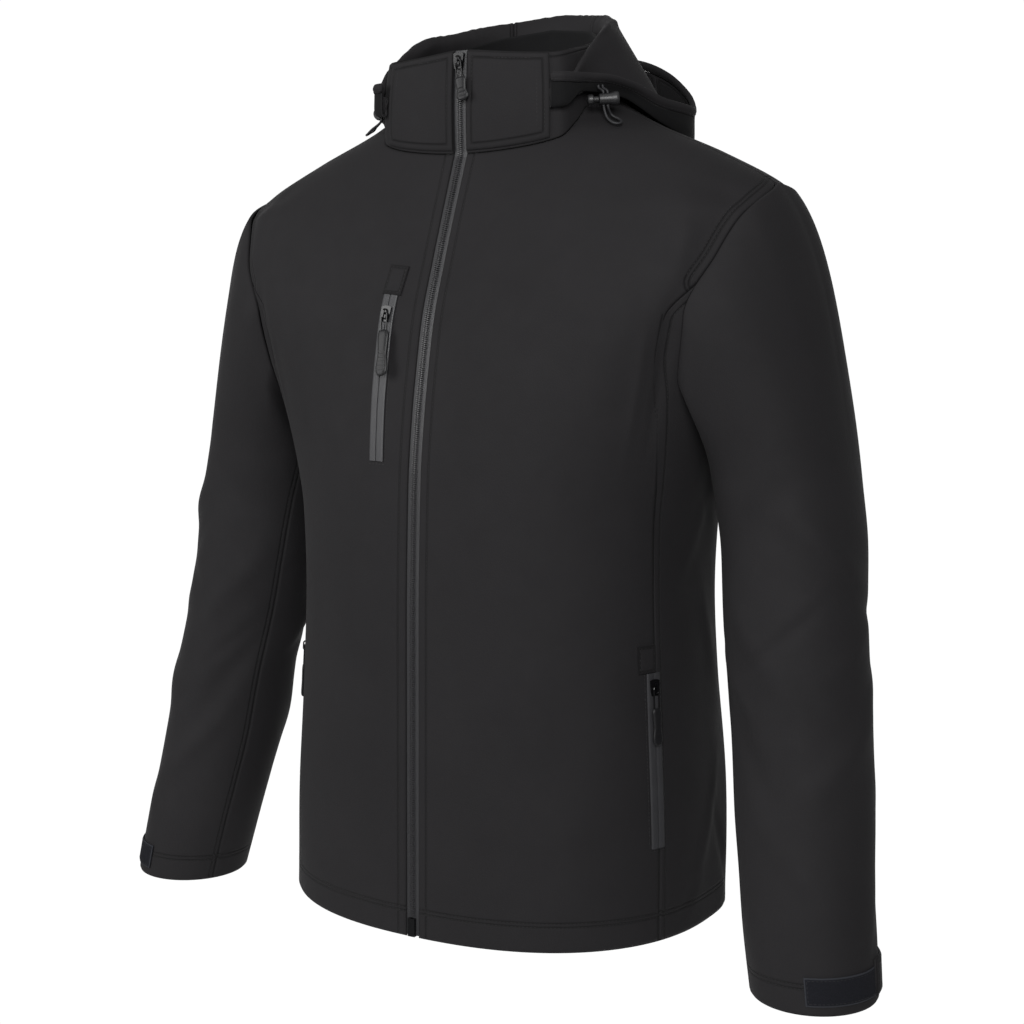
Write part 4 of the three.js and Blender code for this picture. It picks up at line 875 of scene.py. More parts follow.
# Folds round the sleeve from the outside by the front, as on the body. The first are the solid's.
SLEEVE_FOLDS = [
    (40, -352, 48, 34, 11, 3.2), (96, -330, -40, 36, 11, -3), (100, -428, 35, 40, 12, 2.6),
    (30, -505, -52, 44, 13, 2.4), (120, -500, 30, 42, 12, -2.6), (76, -585, 42, 40, 12, 2.4),
    (250, -420, -60, 44, 12, 3.6), (262, -462, 55, 42, 12, -3.2), (210, -440, 40, 38, 12, 3),
    (235, -560, -35, 46, 13, 2.6),
]
SLEEVE_CREASES = {
    1: [
        (82, -418, -47, 38, 6, -2.1), (70, -404, -47, 34, 8, 1.2), (112, -372, -30, 26, 7, -1.2),
        (60, -462, 54, 22, 7, -0.9), (20, -430, -58, 30, 8, 1.1), (130, -455, 40, 26, 7, 1.3),
        (95, -545, -36, 30, 9, -1.1), (40, -600, 44, 24, 8, 0.9), (345, -400, 66, 30, 8, -1.5),
        (330, -452, -58, 34, 9, 1.4), (300, -430, 60, 30, 8, -1.8), (282, -500, -48, 30, 9, 1.6),
        (222, -372, 52, 26, 8, -1.5), (200, -508, -44, 24, 8, -1.2), (268, -600, 40, 30, 9, -1.3),
        (316, -560, 38, 34, 10, 1.1), (172, -420, 62, 20, 6, -1.2), (352, -640, -30, 26, 8, -0.8),
    ],
    -1: [
        (76, -432, -42, 34, 7, -1.8), (98, -398, -38, 28, 7, 1.2), (58, -380, 36, 30, 8, -1.0),
        (116, -470, 46, 24, 7, -1.3), (24, -446, 56, 34, 9, 1.2), (104, -560, 32, 34, 9, 1.3),
        (66, -624, -40, 26, 8, -1.0), (338, -424, -62, 32, 8, -1.6), (318, -480, 54, 30, 9, 1.3),
        (292, -414, -56, 32, 8, 1.7), (276, -528, 44, 34, 9, -1.5), (230, -388, -48, 26, 8, 1.4),
        (206, -470, 58, 28, 8, -1.4), (262, -580, -36, 28, 9, 1.2), (180, -392, 60, 20, 6, -1.1),
    ],
}
SLEEVE_MM_PER_DEGREE = 0.95


def sleeve_section(turn_round, z):
    deep = read(SLEEVE, 4, z)
    return section_point(90 - turn_round, read(SLEEVE, 3, z), deep, deep, read(SLEEVE, 5, z),
                         read(SLEEVE, 1, z), read(SLEEVE, 2, z), z)


def sleeve_point(turn_round, along):
    """A place on the left sleeve: along is 0 at the armhole, 1 below the cap and 2 at the cuff."""
    turn_round, along = np.broadcast_arrays(np.asarray(turn_round, float), np.asarray(along, float))
    arm = sleeve_section(turn_round, SLEEVE_TOP_Z + (CUFF_Z - SLEEVE_TOP_Z) * np.clip(along - 1, 0, 1))
    r = turn_round % 360
    seam = armhole(r)
    leave = unit(np.stack([read(CAP, 1, r), -read(CAP, 2, r), read(CAP, 3, r)], -1))
    start = body(seam[..., 0], seam[..., 1], GAP, ()) + leave * GAP / 2
    end = sleeve_section(turn_round, SLEEVE_TOP_Z + 0 * turn_round)
    rise = unit(end - sleeve_section(turn_round, SLEEVE_TOP_Z - 10 + 0 * turn_round))
    first = start + leave * read(CAP, 4, r)[..., None]
    second = end + rise * read(CAP, 5, r)[..., None]
    t = np.clip(along, 0, 1)[..., None]
    cap = (
        start * (1 - t) ** 3 + 3 * first * t * (1 - t) ** 2 + 3 * second * t**2 * (1 - t) + end * t**3
    )
    return np.where(along[..., None] >= 1, arm, cap)


def sleeve_normal(turn_round, along):
    across = sleeve_point(turn_round + 1, along) - sleeve_point(turn_round - 1, along)
    down = sleeve_point(turn_round, along + 0.01) - sleeve_point(turn_round, np.maximum(along - 0.01, 0))
    return unit(np.cross(across, down))


def sleeve(side, turn_round, along, out=0.0):
    turn_round, along = np.broadcast_arrays(np.asarray(turn_round, float), np.asarray(along, float))
    point = sleeve_point(turn_round, along)
    z = point[..., 2]
    t = np.clip((along - 0.1) / 0.5, 0, 1)
    fade = t * t * (3 - 2 * t)
    folds = fold_height(SLEEVE_FOLDS, turn_round, z, SLEEVE_MM_PER_DEGREE)
    creases = fold_height(SLEEVE_CREASES[side], turn_round, z, SLEEVE_MM_PER_DEGREE)
    reach = CLOTH + out + fade * (folds + creases)
    return (point + sleeve_normal(turn_round, along) * reach[..., None]) * (side, 1, 1)


CUFF_ROW = 19
ARM_ROW = 4.5
ARM_LAP = 0.15  # degrees
NO_ROW = 400  # degrees, off every piece


def along_at(z):
    return 1 + (z - SLEEVE_TOP_Z) / (CUFF_Z - SLEEVE_TOP_Z)


def on_sleeve(side, turn_round, along):
    normal = sleeve_normal(turn_round, along) * (side, 1, 1)
    return sleeve(side, turn_round, along, -STITCH_SINK), normal


def sleeve_piece(node, side, start, end, columns, flat, area, row_at):
    degree = SLEEVE_MM_PER_DEGREE
    u = start + (end - start) * shares(columns, (end - start) * degree)
    cap = shares(56, 200)
    arm = 1 + shares(120, 388)
    along = np.concatenate([cap[cap < 0.992], arm[arm > 1.006]])
    turn_round, down = np.meshgrid(u, along)
    base = sleeve_point(turn_round, down)
    roll = rolled(rim_reach(base))
    lines = {
        "one_row": np.abs(turn_round - row_at) * degree,
        "two_rows": base[..., 2] - CUFF_Z - CUFF_ROW,
    }
    uv = np.stack([turn_round * degree, base[..., 2]], -1)
    outer = sleeve(side, turn_round, down, -roll)
    inner = sleeve(side, turn_round, down, 0 * roll - CLOTH)
    cloth_shell(node, outer, inner, uv, lines, flat, area, ("back_cloth",))


for name, side in SIDES:
    sleeve_piece(f"sleeve_upper_{name}", side, BACK_ARM_SEAM - 360 - ARM_LAP, FRONT_ARM_SEAM + ARM_LAP,
                 120, (300, 640), 0.163, FRONT_ARM_SEAM - ARM_ROW)
    sleeve_piece(f"sleeve_under_{name}", side, FRONT_ARM_SEAM, BACK_ARM_SEAM, 40, (105, 470), 0.04, NO_ROW)
    down = np.concatenate([np.linspace(0.02, 0.99, 60), np.linspace(1, 1.99, 140)])
    runs = [on_sleeve(side, FRONT_ARM_SEAM - ARM_ROW + 0 * down, down)]
    about = np.linspace(0, 360, 180)
    for mm in (CUFF_ROW, CUFF_ROW + DOUBLE_ROW):
        runs.append(on_sleeve(side, about, along_at(CUFF_Z + mm) + 0 * about))
    sew(f"sleeve_{name}_stitches", runs)

# Collar: a standing band of softshell outside and in, sewn to the neck seam and turned over a
# rolled top edge. A stitched tab of the same cloth lies on it each side of the zip.
COLLAR_WALL = 3
COLLAR_TOP = [
    (0, 36, 0.985), (45, 31, 0.97), (60, 36, 0.935), (75, 41, 0.86), (92, 47, 0.8), (110, 52, 0.82),
    (145, 64, 0.96), (180, 69, 1.02),
]
COLLAR_EDGE_TURN = 4.2
TAB_TURN = 44.5
PATCH = 1.2
PATCH_SINK = 0.25
COLLAR_MM_HIGH = 78
COLLAR_THREADS = (1.5, 80)  # mm of weave per degree and from foot to top


def collar_line(turn, up):
    base = body_base(turn, neck_z(turn))
    folded = either_side(turn)
    draw = 1 + (read(COLLAR_TOP, 2, folded) - 1) * up
    belly = 1 + 0.02 * np.sin(np.pi * up)
    low = base[..., 2] + GAP * 1.5
    z = low + (read(COLLAR_TOP, 1, folded) - low) * up
    return np.stack([base[..., 0] * draw * belly, base[..., 1] * draw * belly, z], -1)


def collar_normal(turn, up):
    across = collar_line(turn + 1, up) - collar_line(turn - 1, up)
    return unit(np.stack([across[..., 1], -across[..., 0], 0 * across[..., 0]], -1))


def collar(turn, up, out=0.0):
    turn, up = np.broadcast_arrays(np.asarray(turn, float), np.asarray(up, float))
    reach = np.asarray(out, float) + 0 * turn
    return collar_line(turn, up) + collar_normal(turn, up) * reach[..., None]


def band(node, ends, low_high, counts, in_out, long, flat, area, inset, edged=True):
    """A piece of the collar. Where it isn't edged all round, its foot goes down into the neck seam."""
    start, end = ends
    low, high = low_high
    inside, outside = in_out
    columns, rows = counts
    turn, up = np.meshgrid(
        start + (end - start) * shares(columns, long),
        low + (high - low) * shares(rows, COLLAR_MM_HIGH),
    )
    rim = rim_reach(collar(turn, up))
    if not edged:
        rim = (high - up) * COLLAR_MM_HIGH
    roll = rolled(rim, 0.45 * (outside - inside), 1.2)
    ripple = 0.22 * np.sin(turn * 0.21 + 2.1 * up) * np.sin(up * 3.4 + turn * 0.05)
    uv = np.stack([turn * COLLAR_THREADS[0], up * COLLAR_THREADS[1]], -1)
    outer = collar(turn, up, outside - roll + ripple)
    inner = collar(turn, up, inside + roll + ripple)
    cloth_shell(node, outer, inner, uv, {"one_row": rim - inset}, flat, area, ("back_cloth",))


band("collar", (COLLAR_EDGE_TURN, 360 - COLLAR_EDGE_TURN), (-0.006, 1), (240, 34), (-COLLAR_WALL, 0), 520,
     (530, 100), 0.035, 5, edged=False)


def on_collar(turn, up, out):
    turn, up = np.broadcast_arrays(np.asarray(turn, float), np.asarray(up, float))
    return collar(turn, up, out), collar_normal(turn, up)


for name, side in SIDES:
    ends = (COLLAR_EDGE_TURN, TAB_TURN) if side > 0 else (360 - TAB_TURN, 360 - COLLAR_EDGE_TURN)
    band(f"collar_tab_{name}", ends, (0.02, 0.985), (50, 34), (GAP, GAP + PATCH), 76, (78, 84), 0.0052, 5)
    top = GAP + PATCH - 0.1
    upright = np.linspace(0.04, 0.92, 60)
    level = np.linspace(COLLAR_EDGE_TURN + 2.6, TAB_TURN - 2.2, 60)
    runs = [
        on_collar(side * level, 0.925, top), on_collar(side * (COLLAR_EDGE_TURN + 3.2), upright, top),
        on_collar(side * (TAB_TURN - 2.2), upright, top), on_collar(side * (TAB_TURN - 5.2), upright, top),
    ]
    sew(f"collar_tab_{name}_stitches", runs)

# Hood, folded down: two side pieces and a centre piece from the collar's base over the fold, down
# into the bag and up to the mouth, of the same softshell, gathered a little along the fold.
HOOD_TURN = 44.9
HOOD_CENTRE_HALF = 30
RIM_HIGH = 8
RIM_THICK = 4.4
# By turn: how far up the collar it is sewn and how far off it, the fold's distance from the neck's
# axis and its height, the bag's, the mouth's, and half the fold's and the bag's thickness.
HOOD = [
    (45, 0.33, 1.4, 108.4, 2, 110.6, -12, 112.2, 14.5, 1.2, 1.2),
    (50, 0.33, 3.4, 112, 4, 114.4, -11, 116.2, 14.5, 1.5, 1.5),
    (60, 0.25, 3.6, 105.6, 25, 108.5, 2, 116, 14.5, 2, 2), (68, 0.2, 1.5, 98, 37, 108, 2, 119, 14, 2.5, 2.5),
    (80, 0.15, 2, 91, 50, 114, -1, 126, 9, 4, 3), (93, 0.1, 3, 86, 60, 130, -17, 139, -2, 5, 4),
    (109, 0.02, 3, 82, 65, 144, -33, 151, -5, 6, 4), (125, 0.02, 3, 81, 71, 145, -68, 149, 11, 6, 6),
    (141, 0.02, 3, 83, 76, 150, -108, 144, 32, 6, 10), (158, 0.02, 3, 87, 80, 150, -134, 142, 47, 6, 13),
    (180, 0.02, 3, 91, 84, 149, -144, 140, 57, 6, 14),
]
HOOD_GRID = (84, 300)
HOOD_MM_PER_DEGREE = 2
HOOD_LAP = 0.06  # degrees


def hood_line(turn, share):
    """Places on the hood's middle surface: share is 0 at the collar's base and 1 at the mouth."""
    turn = np.asarray(turn, float)
    row = [read(HOOD, k, either_side(turn)) for k in range(1, 11)]
    up, off, fold_r, fold_z, bag_r, bag_z, rim_r, rim_z, roll, slack = row
    foot = collar(turn, up, CLOTH)
    base_r = np.hypot(foot[..., 0], foot[..., 1]) + off
    base_z = foot[..., 2] + off
    lip_r = rim_r - bag_r - slack
    lip_z = rim_z - bag_z - slack
    reach = 1 - (RIM_HIGH + GAP) / np.hypot(lip_r, lip_z)
    r = [base_r, (base_r + fold_r - roll) / 2, fold_r - roll, fold_r, fold_r + roll,
         (fold_r + roll + bag_r - slack) / 2, bag_r - slack, bag_r, bag_r + slack,
         bag_r + slack + lip_r * reach]
    z = [base_z, (base_z + fold_z) / 2, fold_z - roll, fold_z, fold_z - roll * 1.2, (fold_z + bag_z) / 2,
         bag_z + slack, bag_z, bag_z + slack, bag_z + slack + lip_z * reach]
    s = np.sin(np.radians(turn))
    c = np.cos(np.radians(turn))
    corners = np.stack([np.stack([rr * s, -rr * c, zz], -1) for rr, zz in zip(r, z)], -2)
    return along_route(corners, share)


HOOD_CREASES = [  # turn, share, slant across the two, half length in degrees, half width, rise
    (84, 0.36, 12, 9, 0.03, 1.4), (97, 0.4, -10, 8, 0.028, -1.3), (112, 0.37, 14, 10, 0.035, 1.5),
    (128, 0.44, -12, 9, 0.03, -1.4), (146, 0.38, 10, 11, 0.035, 1.6), (172, 0.42, -8, 12, 0.03, -1.5),
    (196, 0.37, 12, 10, 0.035, 1.5), (221, 0.43, -12, 9, 0.03, -1.4), (240, 0.38, 10, 10, 0.03, 1.4),
    (262, 0.4, -10, 8, 0.03, -1.2), (278, 0.37, 12, 8, 0.03, 1.2), (150, 0.86, 16, 12, 0.04, -2.0),
    (205, 0.84, -14, 14, 0.045, 2.2), (118, 0.9, 10, 9, 0.03, 1.5), (242, 0.9, -10, 9, 0.03, -1.5),
    (180, 0.93, 6, 16, 0.03, 1.6), (74, 0.2, 0, 6, 0.05, -0.9), (286, 0.22, 0, 6, 0.05, -0.9),
]


def hood(turn, share, out):
    middle = hood_line(turn, share)
    ahead = unit(np.gradient(middle, axis=1))
    level = np.stack([np.cos(np.radians(turn)), np.sin(np.radians(turn)), 0 * turn], -1)[:, None]
    normal = unit(np.cross(ahead, level))
    grid_turn, grid_share = np.meshgrid(turn, share, indexing="ij")
    height = np.zeros(grid_turn.shape)
    for place, level_share, slant, half_long, half_wide, rise in HOOD_CREASES:
        across = (grid_share - level_share) / half_wide - (grid_turn - place) / half_long * slant / 20
        along = (grid_turn - place) / half_long
        height += rise * np.exp(-(across**2) - along**2)
    pucker = 0.34 * np.sin(grid_turn * 0.93 + 1.7 * np.sin(grid_turn * 0.19))
    pucker *= 0.55 + 0.45 * np.sin(grid_turn * 0.27 + 0.9)
    height += pucker * np.exp(-(((grid_share - 1 / 3) / 0.1) ** 2))
    fade = np.clip(np.minimum(grid_share, 1 - grid_share) / 0.06, 0, 1)
    return middle + normal * (height * fade + out)[..., None], normal


def hood_piece(node, start, end, flat, area):
    long = (end - start) * HOOD_MM_PER_DEGREE
    turn = start + (end - start) * shares(int(long / 3), long)
    turn[[0, -1]] += (-HOOD_LAP, HOOD_LAP)
    share = shares(*HOOD_GRID)
    base, _ = hood(turn, share, np.zeros((len(turn), len(share))))
    roll = rolled(rim_reach(base))
    outer, _ = hood(turn, share, CLOTH / 2 - roll)
    inner, _ = hood(turn, share, -CLOTH / 2 + 0 * roll)
    run = np.pad(np.cumsum(np.linalg.norm(np.diff(base, axis=1), axis=-1), 1), ((0, 0), (1, 0)))
    grid_turn = turn[:, None] + 0 * run
    from_seams = np.abs(np.abs(grid_turn - 180) - HOOD_CENTRE_HALF) * HOOD_MM_PER_DEGREE
    lines = {"one_row": np.minimum(from_seams - 4, run[:, -1:] - run - 3)}
    uv = np.stack([grid_turn * HOOD_MM_PER_DEGREE, run], -1)
    cloth_shell(node, outer, inner, uv, lines, flat, area, ("collar_cloth", "back_cloth"), "folded")


hood_piece("hood_left", HOOD_TURN, 180 - HOOD_CENTRE_HALF, (250, 330), 0.045)
hood_piece("hood_right", 180 + HOOD_CENTRE_HALF, 360 - HOOD_TURN, (250, 330), 0.045)
hood_piece("hood_centre", 180 - HOOD_CENTRE_HALF, 180 + HOOD_CENTRE_HALF, (155, 460), 0.066)

# Hem of the hood's mouth: a turned channel with the drawcord inside, so it stands as a soft roll
# with small gathers, stitched through below the cord.
ring_turn = np.linspace(HOOD_TURN, 360 - HOOD_TURN, 260)
end_line = hood_line(ring_turn, np.array([0.97, 1.0]))
rise = unit(end_line[:, 1] - end_line[:, 0])
ahead = unit(np.gradient(end_line[:, 1], axis=0))
outward = unit(np.cross(ahead, rise))
centre = end_line[:, 1] + rise * (RIM_HIGH / 2 + GAP)
RIM_SIDES = 20
angle = round_steps(RIM_SIDES)
gather = 1 + 0.05 * np.sin(ring_turn * 1.7)[:, None] * np.cos(angle + 0.4 * np.sin(ring_turn * 0.6)[:, None])
waist = 1 - 0.22 * np.exp(-((np.sin(angle) + 0.45) / 0.22) ** 2)
closing = np.clip(np.minimum(ring_turn - HOOD_TURN, 360 - HOOD_TURN - ring_turn) / 0.9 + 0.55, 0, 1)[:, None]
wide = RIM_THICK / 2 * np.cos(angle) * waist * gather * closing
high = RIM_HIGH / 2 * np.sin(angle) * closing * np.ones_like(gather)
skin = centre[:, None] + outward[:, None] * wide[..., None] + rise[:, None] * high[..., None]
uv = np.stack(np.broadcast_arrays(ring_turn[:, None] * 2.2, angle * 3), -1)
far_off = np.full(skin.shape[:2], FAR_OFF)
lines = {"one_row": far_off, "two_rows": far_off, "edge": far_off}
faces = outward_faces(skin, tube_faces(len(ring_turn), RIM_SIDES))
rim_piece = put("hood_rim_cloth", skin, faces, softshell, "jacket", 70, uv, lines)
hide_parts("hood_rim")
below = centre - rise * 2.2 + outward * (RIM_THICK / 2 * 0.75)
sew("hood_rim_stitches", [(below, outward)])

# Main zip: a coil zip 6 mm wide, one satin tape sewn behind each front edge, from the box at the
# hem up to the collar's top. The box is a black lacquered die casting and stays a plain block.
TOOTH_PITCH = 1.5
BOX_TOP_Z = -656
TAPE_SECTION = [(0.04, -1.1), (5.1, -1.1), (5.9, -1.7), (6.6, -2.25), (15, -2.35), (15, -2.75), (6.3, -2.7),
                (5.4, -1.9), (4.9, -1.6), (0.04, -1.6)]
TOOTH = [(-0.5, 0.34), (-0.25, 0.5), (2.2, 0.5), (2.7, 0.3)]  # reach across the zip and half height
TOOTH_SIDES = 6


def centre_front(z):
    low = body_base(0.0, np.minimum(z, NECK_Z))
    high = collar_line(np.zeros(np.shape(z)), (z - NECK_Z) / (COLLAR_TOP[0][1] - NECK_Z))
    return np.where((z <= NECK_Z)[..., None], low, high)


def centre_frame(z):
    """Places up the centre front with the ways to the wearer's left, out and up."""
    z = np.asarray(z, float)
    up = unit(centre_front(z + 3) - centre_front(z - 3))
    left = np.zeros_like(up) + (1.0, 0, 0)
    return centre_front(z), left, np.cross(left, up), up


def laid_strip(name, places, section, material):
    """A strip with one cross-section, to the wearer's left and out, carried along its places."""
    point, left, out, _ = places
    section = np.asarray(section, float)
    skin = point[:, None] + left[:, None] * section[:, :1] + out[:, None] * section[:, 1:]
    faces = outward_faces(skin, tube_faces(len(point), len(section)))
    uv = np.stack(np.broadcast_arrays(section[:, 0], run_along(point)[:, None]), -1)
    return put(name, skin, faces, material, "jacket", 50, uv)


def tape_look(name, colour, roughness, rib_mm):
    material, node, shade, where, _ = finish_with(name, colour, roughness, 0.12, 60)
    across = node("SeparateXYZ", {"Vector": node("UVMap", {}, uv_map="cloth").outputs["UV"]}).outputs["X"]
    rib = reckon(node, "SINE", reckon(node, "MULTIPLY", across, 2 * math.pi / rib_mm))
    fine = node("TexNoise", {"Vector": where, "Scale": 1500, "Detail": 2}).outputs["Fac"]
    normal = bump(node, fine, 0.4, 0.12, bump(node, rib, 0.35, 0.12))
    shade({"Normal": normal, "Specular IOR Level": 0.4})
    return material


zip_tape = tape_look("zip_tape", (0.021, 0.021, 0.023), 0.48, 0.7)
coil_finish = finish_with("zip_coil", (0.022, 0.0215, 0.0235), 0.36, 0.2, 700)[0]
heights = np.concatenate([np.linspace(HEM_Z + 1.5, NECK_Z - 4, 120), np.linspace(NECK_Z, 35, 60)])
for name, side in SIDES:
    section = [(across * side, out) for across, out in TAPE_SECTION]
    tape = laid_strip(f"zip_tape_{name}_woven", centre_frame(heights), section, zip_tape)
    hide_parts(f"zip_tape_{name}")
    z = np.arange(BOX_TOP_Z + 1 + (side > 0) * TOOTH_PITCH / 2, 33, TOOTH_PITCH)
    point, left, out, up = (np.asarray(v)[:, None, None] for v in centre_frame(z))
    angle = round_steps(TOOTH_SIDES)
    far = np.array([a for a, _ in TOOTH])[:, None, None]
    thick = np.array([r for _, r in TOOTH])[:, None, None]
    teeth = (
        point + left * side * far + out * (thick * 1.25 * np.sin(angle)[:, None] - 0.4)
        + up * (thick * np.cos(angle)[:, None])
    )
    one = outward_faces(teeth[0], tube_faces(len(TOOTH), TOOTH_SIDES))
    each = len(TOOTH) * TOOTH_SIDES
    faces = [[k * each + corner for corner in face] for k in range(len(z)) for face in one]
    put(f"zip_coil_{name}", teeth, faces, coil_finish, "jacket", 50)

metal = grained("black_lacquered_metal", (0.0035, 0.0035, 0.004), 0.2, (0.25, 500), (900, 3, 0.2, 0.06), 0.3)


def finish_solid(name, material):
    """Gives a solid that is shown as it is its finish."""
    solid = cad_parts[name]
    solid.data.materials.clear()
    solid.data.materials.append(material)


finish_solid("zip_box", metal)

# Pocket zips: on the wearer's right chest and in each front seam. Each is a closed reverse coil
# zip with a satin tape 13.5 mm wide, sewn on flat with one row each side and a bar at its foot. A
# garage of softshell above it houses the slider.
# Turn at the top and the foot, heights of both, and the garage's left edge, width and height.
POCKETS = {
    "chest": (-16.6, -13.3, -158, -289, 9.5, 18, 23),
    "hand_left": (67.2, 67.4, -454, -595, 3, 18, 22),
    "hand_right": (-67.2, -67.4, -454, -595, 15, 18, 22),
}
POCKET_HALF = 6.75
POCKET_SECTION = [
    (-POCKET_HALF, GAP), (-POCKET_HALF, GAP + 0.55), (-POCKET_HALF + 0.4, GAP + 0.95), (-5.2, GAP + 1.15),
    (-0.75, GAP + 1.25), (-0.4, GAP + 1.1), (-0.22, GAP + 0.35), (0.22, GAP + 0.35), (0.4, GAP + 1.1),
    (0.75, GAP + 1.25), (5.2, GAP + 1.15), (POCKET_HALF - 0.4, GAP + 0.95), (POCKET_HALF, GAP + 0.55),
    (POCKET_HALF, GAP),
]


def pocket_turn(pocket, z):
    share = np.clip((z - pocket[2]) / (pocket[3] - pocket[2]), 0, 1)
    return pocket[0] + (pocket[1] - pocket[0]) * share


def body_frame(turn, z, creases=BODY_CREASES):
    """Places on the body with the ways to the wearer's left, out and up along it."""
    out = body_normal(turn, z)
    up = unit(body(turn, z + 2, 0.0, creases) - body(turn, z - 2, 0.0, creases))
    left = unit(np.cross(up, out))
    return body(turn, z, 0.0, creases), left, np.cross(left, up), up


def droop(across, share):
    """How far a garage's edges bend back with the body, at places across it."""
    return 0.0035 * (across - np.clip(across, -4, 4)) ** 2 * share


GARAGE_ROW = 1.8
ROW_OFF = 1.5  # from the tape's edge to the row beside it
coated_tape = tape_look("coated_zip_tape", (0.028, 0.028, 0.0305), 0.46, 1.1)
for name, pocket in POCKETS.items():
    top_z, foot_z, garage_left, wide, high = pocket[2:]
    z = np.linspace(foot_z, top_z - GAP, 90)
    places = body_frame(pocket_turn(pocket, z), z)
    strip = laid_strip(f"{name}_zip_tape", places, POCKET_SECTION, coated_tape)
    long = (top_z - foot_z) * MM
    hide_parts(f"{name}_zip")
    point, left, out, up = places
    edge = POCKET_HALF + ROW_OFF
    runs = [(point + left * off - out * 0.2, out) for off in (-edge, edge)]
    foot = np.linspace(-edge, edge, 12)[:, None]
    for mm in (1.0, 2.4):
        runs.append((point[:1] + left[:1] * foot - up[:1] * mm - out[:1] * 0.1, out[:1] + 0 * foot))
    bend = 1 if name == "chest" else 1.6
    z = top_z + high * shares(18, high)
    off = garage_left - wide * shares(16, wide)
    point, left, out, _ = (v[:, None] for v in body_frame(pocket_turn(pocket, z), z))
    flat = point + left * off[None, :, None]
    rim = rim_reach(flat)
    sag = droop(off, bend)
    roll = rolled(rim, 0.45, 0.9) + sag
    uv = np.stack(np.broadcast_arrays(off[None], z[:, None]), -1)
    outer = flat + out * (GAP + PATCH - roll)[..., None]
    inner = flat + out * (GAP - sag - PATCH_SINK)[..., None] + 0 * flat
    cloth_shell(f"{name}_garage", outer, inner, uv, {"one_row": rim - GARAGE_ROW}, (wide, high),
                wide * high * MM * MM, ("front_left_cloth", "front_right_cloth"))
    z = np.linspace(top_z + GARAGE_ROW, top_z + high - GARAGE_ROW, 20)
    point, left, out, _ = body_frame(pocket_turn(pocket, z), z)
    top = GAP + PATCH - STITCH_SINK
    for across in (garage_left - GARAGE_ROW, garage_left - wide + GARAGE_ROW):
        runs.append((point + left * across + out * (top - droop(across, bend)), out))
    width = np.linspace(garage_left - wide + GARAGE_ROW, garage_left - GARAGE_ROW, 16)[:, None]
    for k in (0, -1):
        runs.append((point[k] + left[k] * width + out[k] * (top - droop(width, bend)), out[k] + 0 * width))
    sew(f"{name}_pocket_stitches", runs)

# Pulls: each slider is a black lacquered die casting with a bridge, fixed where the photo shows
# it, and a wire link turns in it. A moulded black rubber puller hangs on the link.
# Height of the pivot, link's length, puller's length and width, its lean towards the wearer's
# left in degrees, and the pocket it runs in.
PULLS = {
    "main": (26, 17, 19, 11, 12, None), "chest": (-174, 17, 38, 11, 11, "chest"),
    "hand_left": (-466, 20, 30, 10, 0, "hand_left"), "hand_right": (-466, 20, 30, 10, 0, "hand_right"),
}
PULL_BODY = {"main": "main_pull", "chest": "chest_pull", "hand_left": "hand_pull_left",
             "hand_right": "hand_pull_right"}
PIVOT_OUT = 4.2
PIVOT_UP = 0.6
PULLER_HALF_THICK = 1.4
EYE_LAP = 3.4
# The puller's half width as a share of its full one, by share of its length from its top.
TONGUE = np.array([(0, 0.6), (0.03, 0.74), (0.12, 0.9), (0.35, 0.8), (0.55, 0.72), (0.8, 0.97), (0.9, 0.9),
                   (0.97, 0.62), (1, 0.3)])

rubber = grained("puller_rubber", (0.009, 0.009, 0.0098), 0.42, (0.2, 300), (2200, 2, 0.35, 0.08), 0.25)
GRIP_FROM = 0.46
GRIP_TO = 0.88
RIB_PITCH = 3.2
for name, (z, link_long, long, wide, lean, pocket) in PULLS.items():
    if pocket:
        place = body_frame(pocket_turn(POCKETS[pocket], float(z)), float(z), ())
    else:
        place = centre_frame(float(z))
    point, left, out, up = (np.asarray(v).reshape(3) for v in place)
    pivot = point + out * PIVOT_OUT + up * PIVOT_UP
    c = math.cos(math.radians(lean))
    t = math.sin(math.radians(lean))
    left, up = left * c + up * t, up * c - left * t
    v = shares(44, long)[:, None]
    u = np.sin(np.linspace(-math.pi / 2, math.pi / 2, 31))[None]
    half = np.interp(v, *TONGUE.T) * wide / 2
    blunt = np.sqrt(np.clip(1 - (2 * v - 1) ** 12, 0.1, 1))
    rise = PULLER_HALF_THICK * (0.3 + 0.7 * (1 - u**4)) * blunt
    grip = (v > GRIP_FROM) & (v < GRIP_TO) & (np.abs(u) < 0.62)
    from_rib = ((v - GRIP_FROM) * long + RIB_PITCH / 2) % RIB_PITCH - RIB_PITCH / 2
    rib = 0.28 - 0.3 * np.exp(-((from_rib / 0.55) ** 2))
    down = EYE_LAP - link_long - long * v
    flat = pivot + left * (u * half)[..., None] + up * down[..., None]
    front = flat + out * (rise - np.where(grip, rib, 0))[..., None]
    back = flat - out * rise[..., None]
    faces, _ = shell_faces(*front.shape[:2])
    both = np.concatenate([front.reshape(-1, 3), back.reshape(-1, 3)])
    puller = put(f"{name}_puller_rubber", both, outward_faces(both, faces.tolist()), rubber,
                 PULL_BODY[name], 40)
    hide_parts(f"{name}_puller")
    finish_solid(f"{name}_slider", metal)
    finish_solid(f"{name}_link", metal)

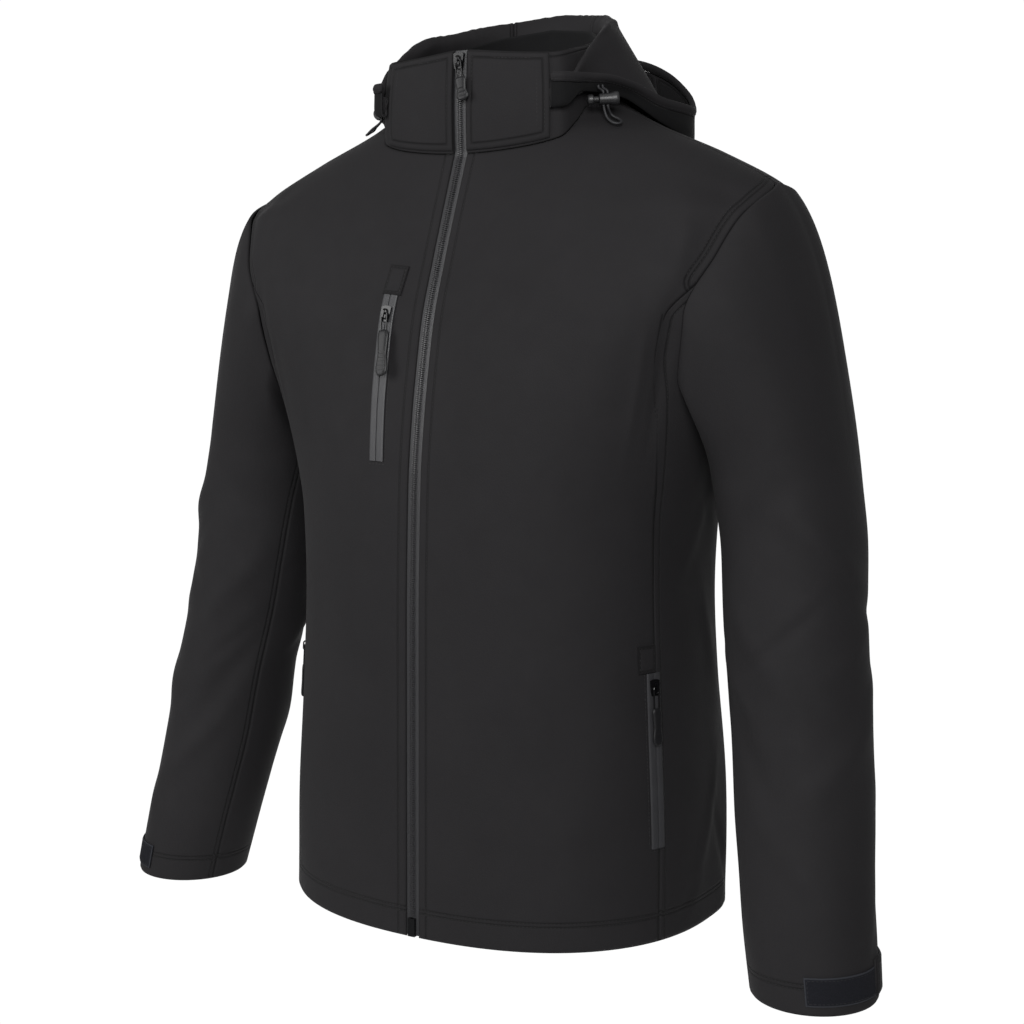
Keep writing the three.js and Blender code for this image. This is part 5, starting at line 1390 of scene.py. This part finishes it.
# Cuffs: a loop tape patch sewn on each sleeve's outside and a tab of doubled softshell that comes
# round from the back and is pressed on it, edge-stitched all round.
# From and to round the sleeve, lowest and highest above the cuff's edge, and thickness.
CUFF_PIECES = {"cuff_loop": (2, 76, 7, 28, PATCH), "cuff_tab": (-116, 0, 6, 32, CLOTH)}
CUFF_MM_PER_DEGREE = 0.86
EDGE_ROW = 2.2
loop_tape, node, shade, where, drift = finish_with("loop_tape", (0.0082, 0.0086, 0.0115), 0.95, 0.45, 900)
# Painted sheen: within 0.9 mm of the patch's rim, and gone by 1.5 mm, the colour is painted lighter and
# bluer than the loops.
painted_sheen_share = near_rim(node, 0.9, 1.5, 0.7)
rim_painted_sheen = node("Mix", {"Factor": painted_sheen_share, "A": drift, "B": (0.036, 0.038, 0.044, 1)}, data_type="RGBA")
nap = node("TexNoise", {"Vector": where, "Scale": 1400, "Detail": 5, "Roughness": 0.7}).outputs["Fac"]
shade({"Base Color": rim_painted_sheen.outputs["Result"], "Normal": bump(node, nap, 1.0, 0.7)})
shade({"Specular IOR Level": 0.15})
for name, side in SIDES:
    for kind, (start, end, low, high, thick) in CUFF_PIECES.items():
        long = (end - start) * CUFF_MM_PER_DEGREE
        about = start + (end - start) * shares(int(long / 1.4), long)
        down = along_at(CUFF_Z + low + (high - low) * shares(20, high - low))
        about, down = np.meshgrid(about, down)
        base = sleeve(side, about, down)
        rim = rim_reach(base)
        roll = rolled(rim, 0.5 * thick)
        uv = np.stack([about * CUFF_MM_PER_DEGREE, base[..., 2]], -1)
        outer = sleeve(side, about, down, 2 * GAP + thick - roll)
        inner = sleeve(side, about, down, 2 * GAP - PATCH_SINK + 0 * roll)
        finish = {"look": [loop_tape, loop_tape], "slot": "loop_tape"} if kind == "cuff_loop" else {}
        cloth_shell(f"{kind}_{name}", outer, inner, uv, {"one_row": rim - EDGE_ROW}, (long, high - low),
                    long * (high - low) * MM * MM, (f"sleeve_upper_{name}_cloth",), **finish)
        top = 2 * GAP + thick - STITCH_SINK
        inset = EDGE_ROW / CUFF_MM_PER_DEGREE
        runs = []
        for level in (low + EDGE_ROW, high - EDGE_ROW):
            around = np.linspace(start + inset, end - inset, 90)
            along = along_at(CUFF_Z + level) + 0 * around
            runs.append((around, along))
        for across in (start + inset, end - inset):
            along = along_at(CUFF_Z + np.linspace(low + EDGE_ROW, high - EDGE_ROW, 20))
            runs.append((across + 0 * along, along))
        sew(f"{kind}_{name}_stitches", [
            (sleeve(side, *run, top), sleeve_normal(*run) * (side, 1, 1)) for run in runs
        ])
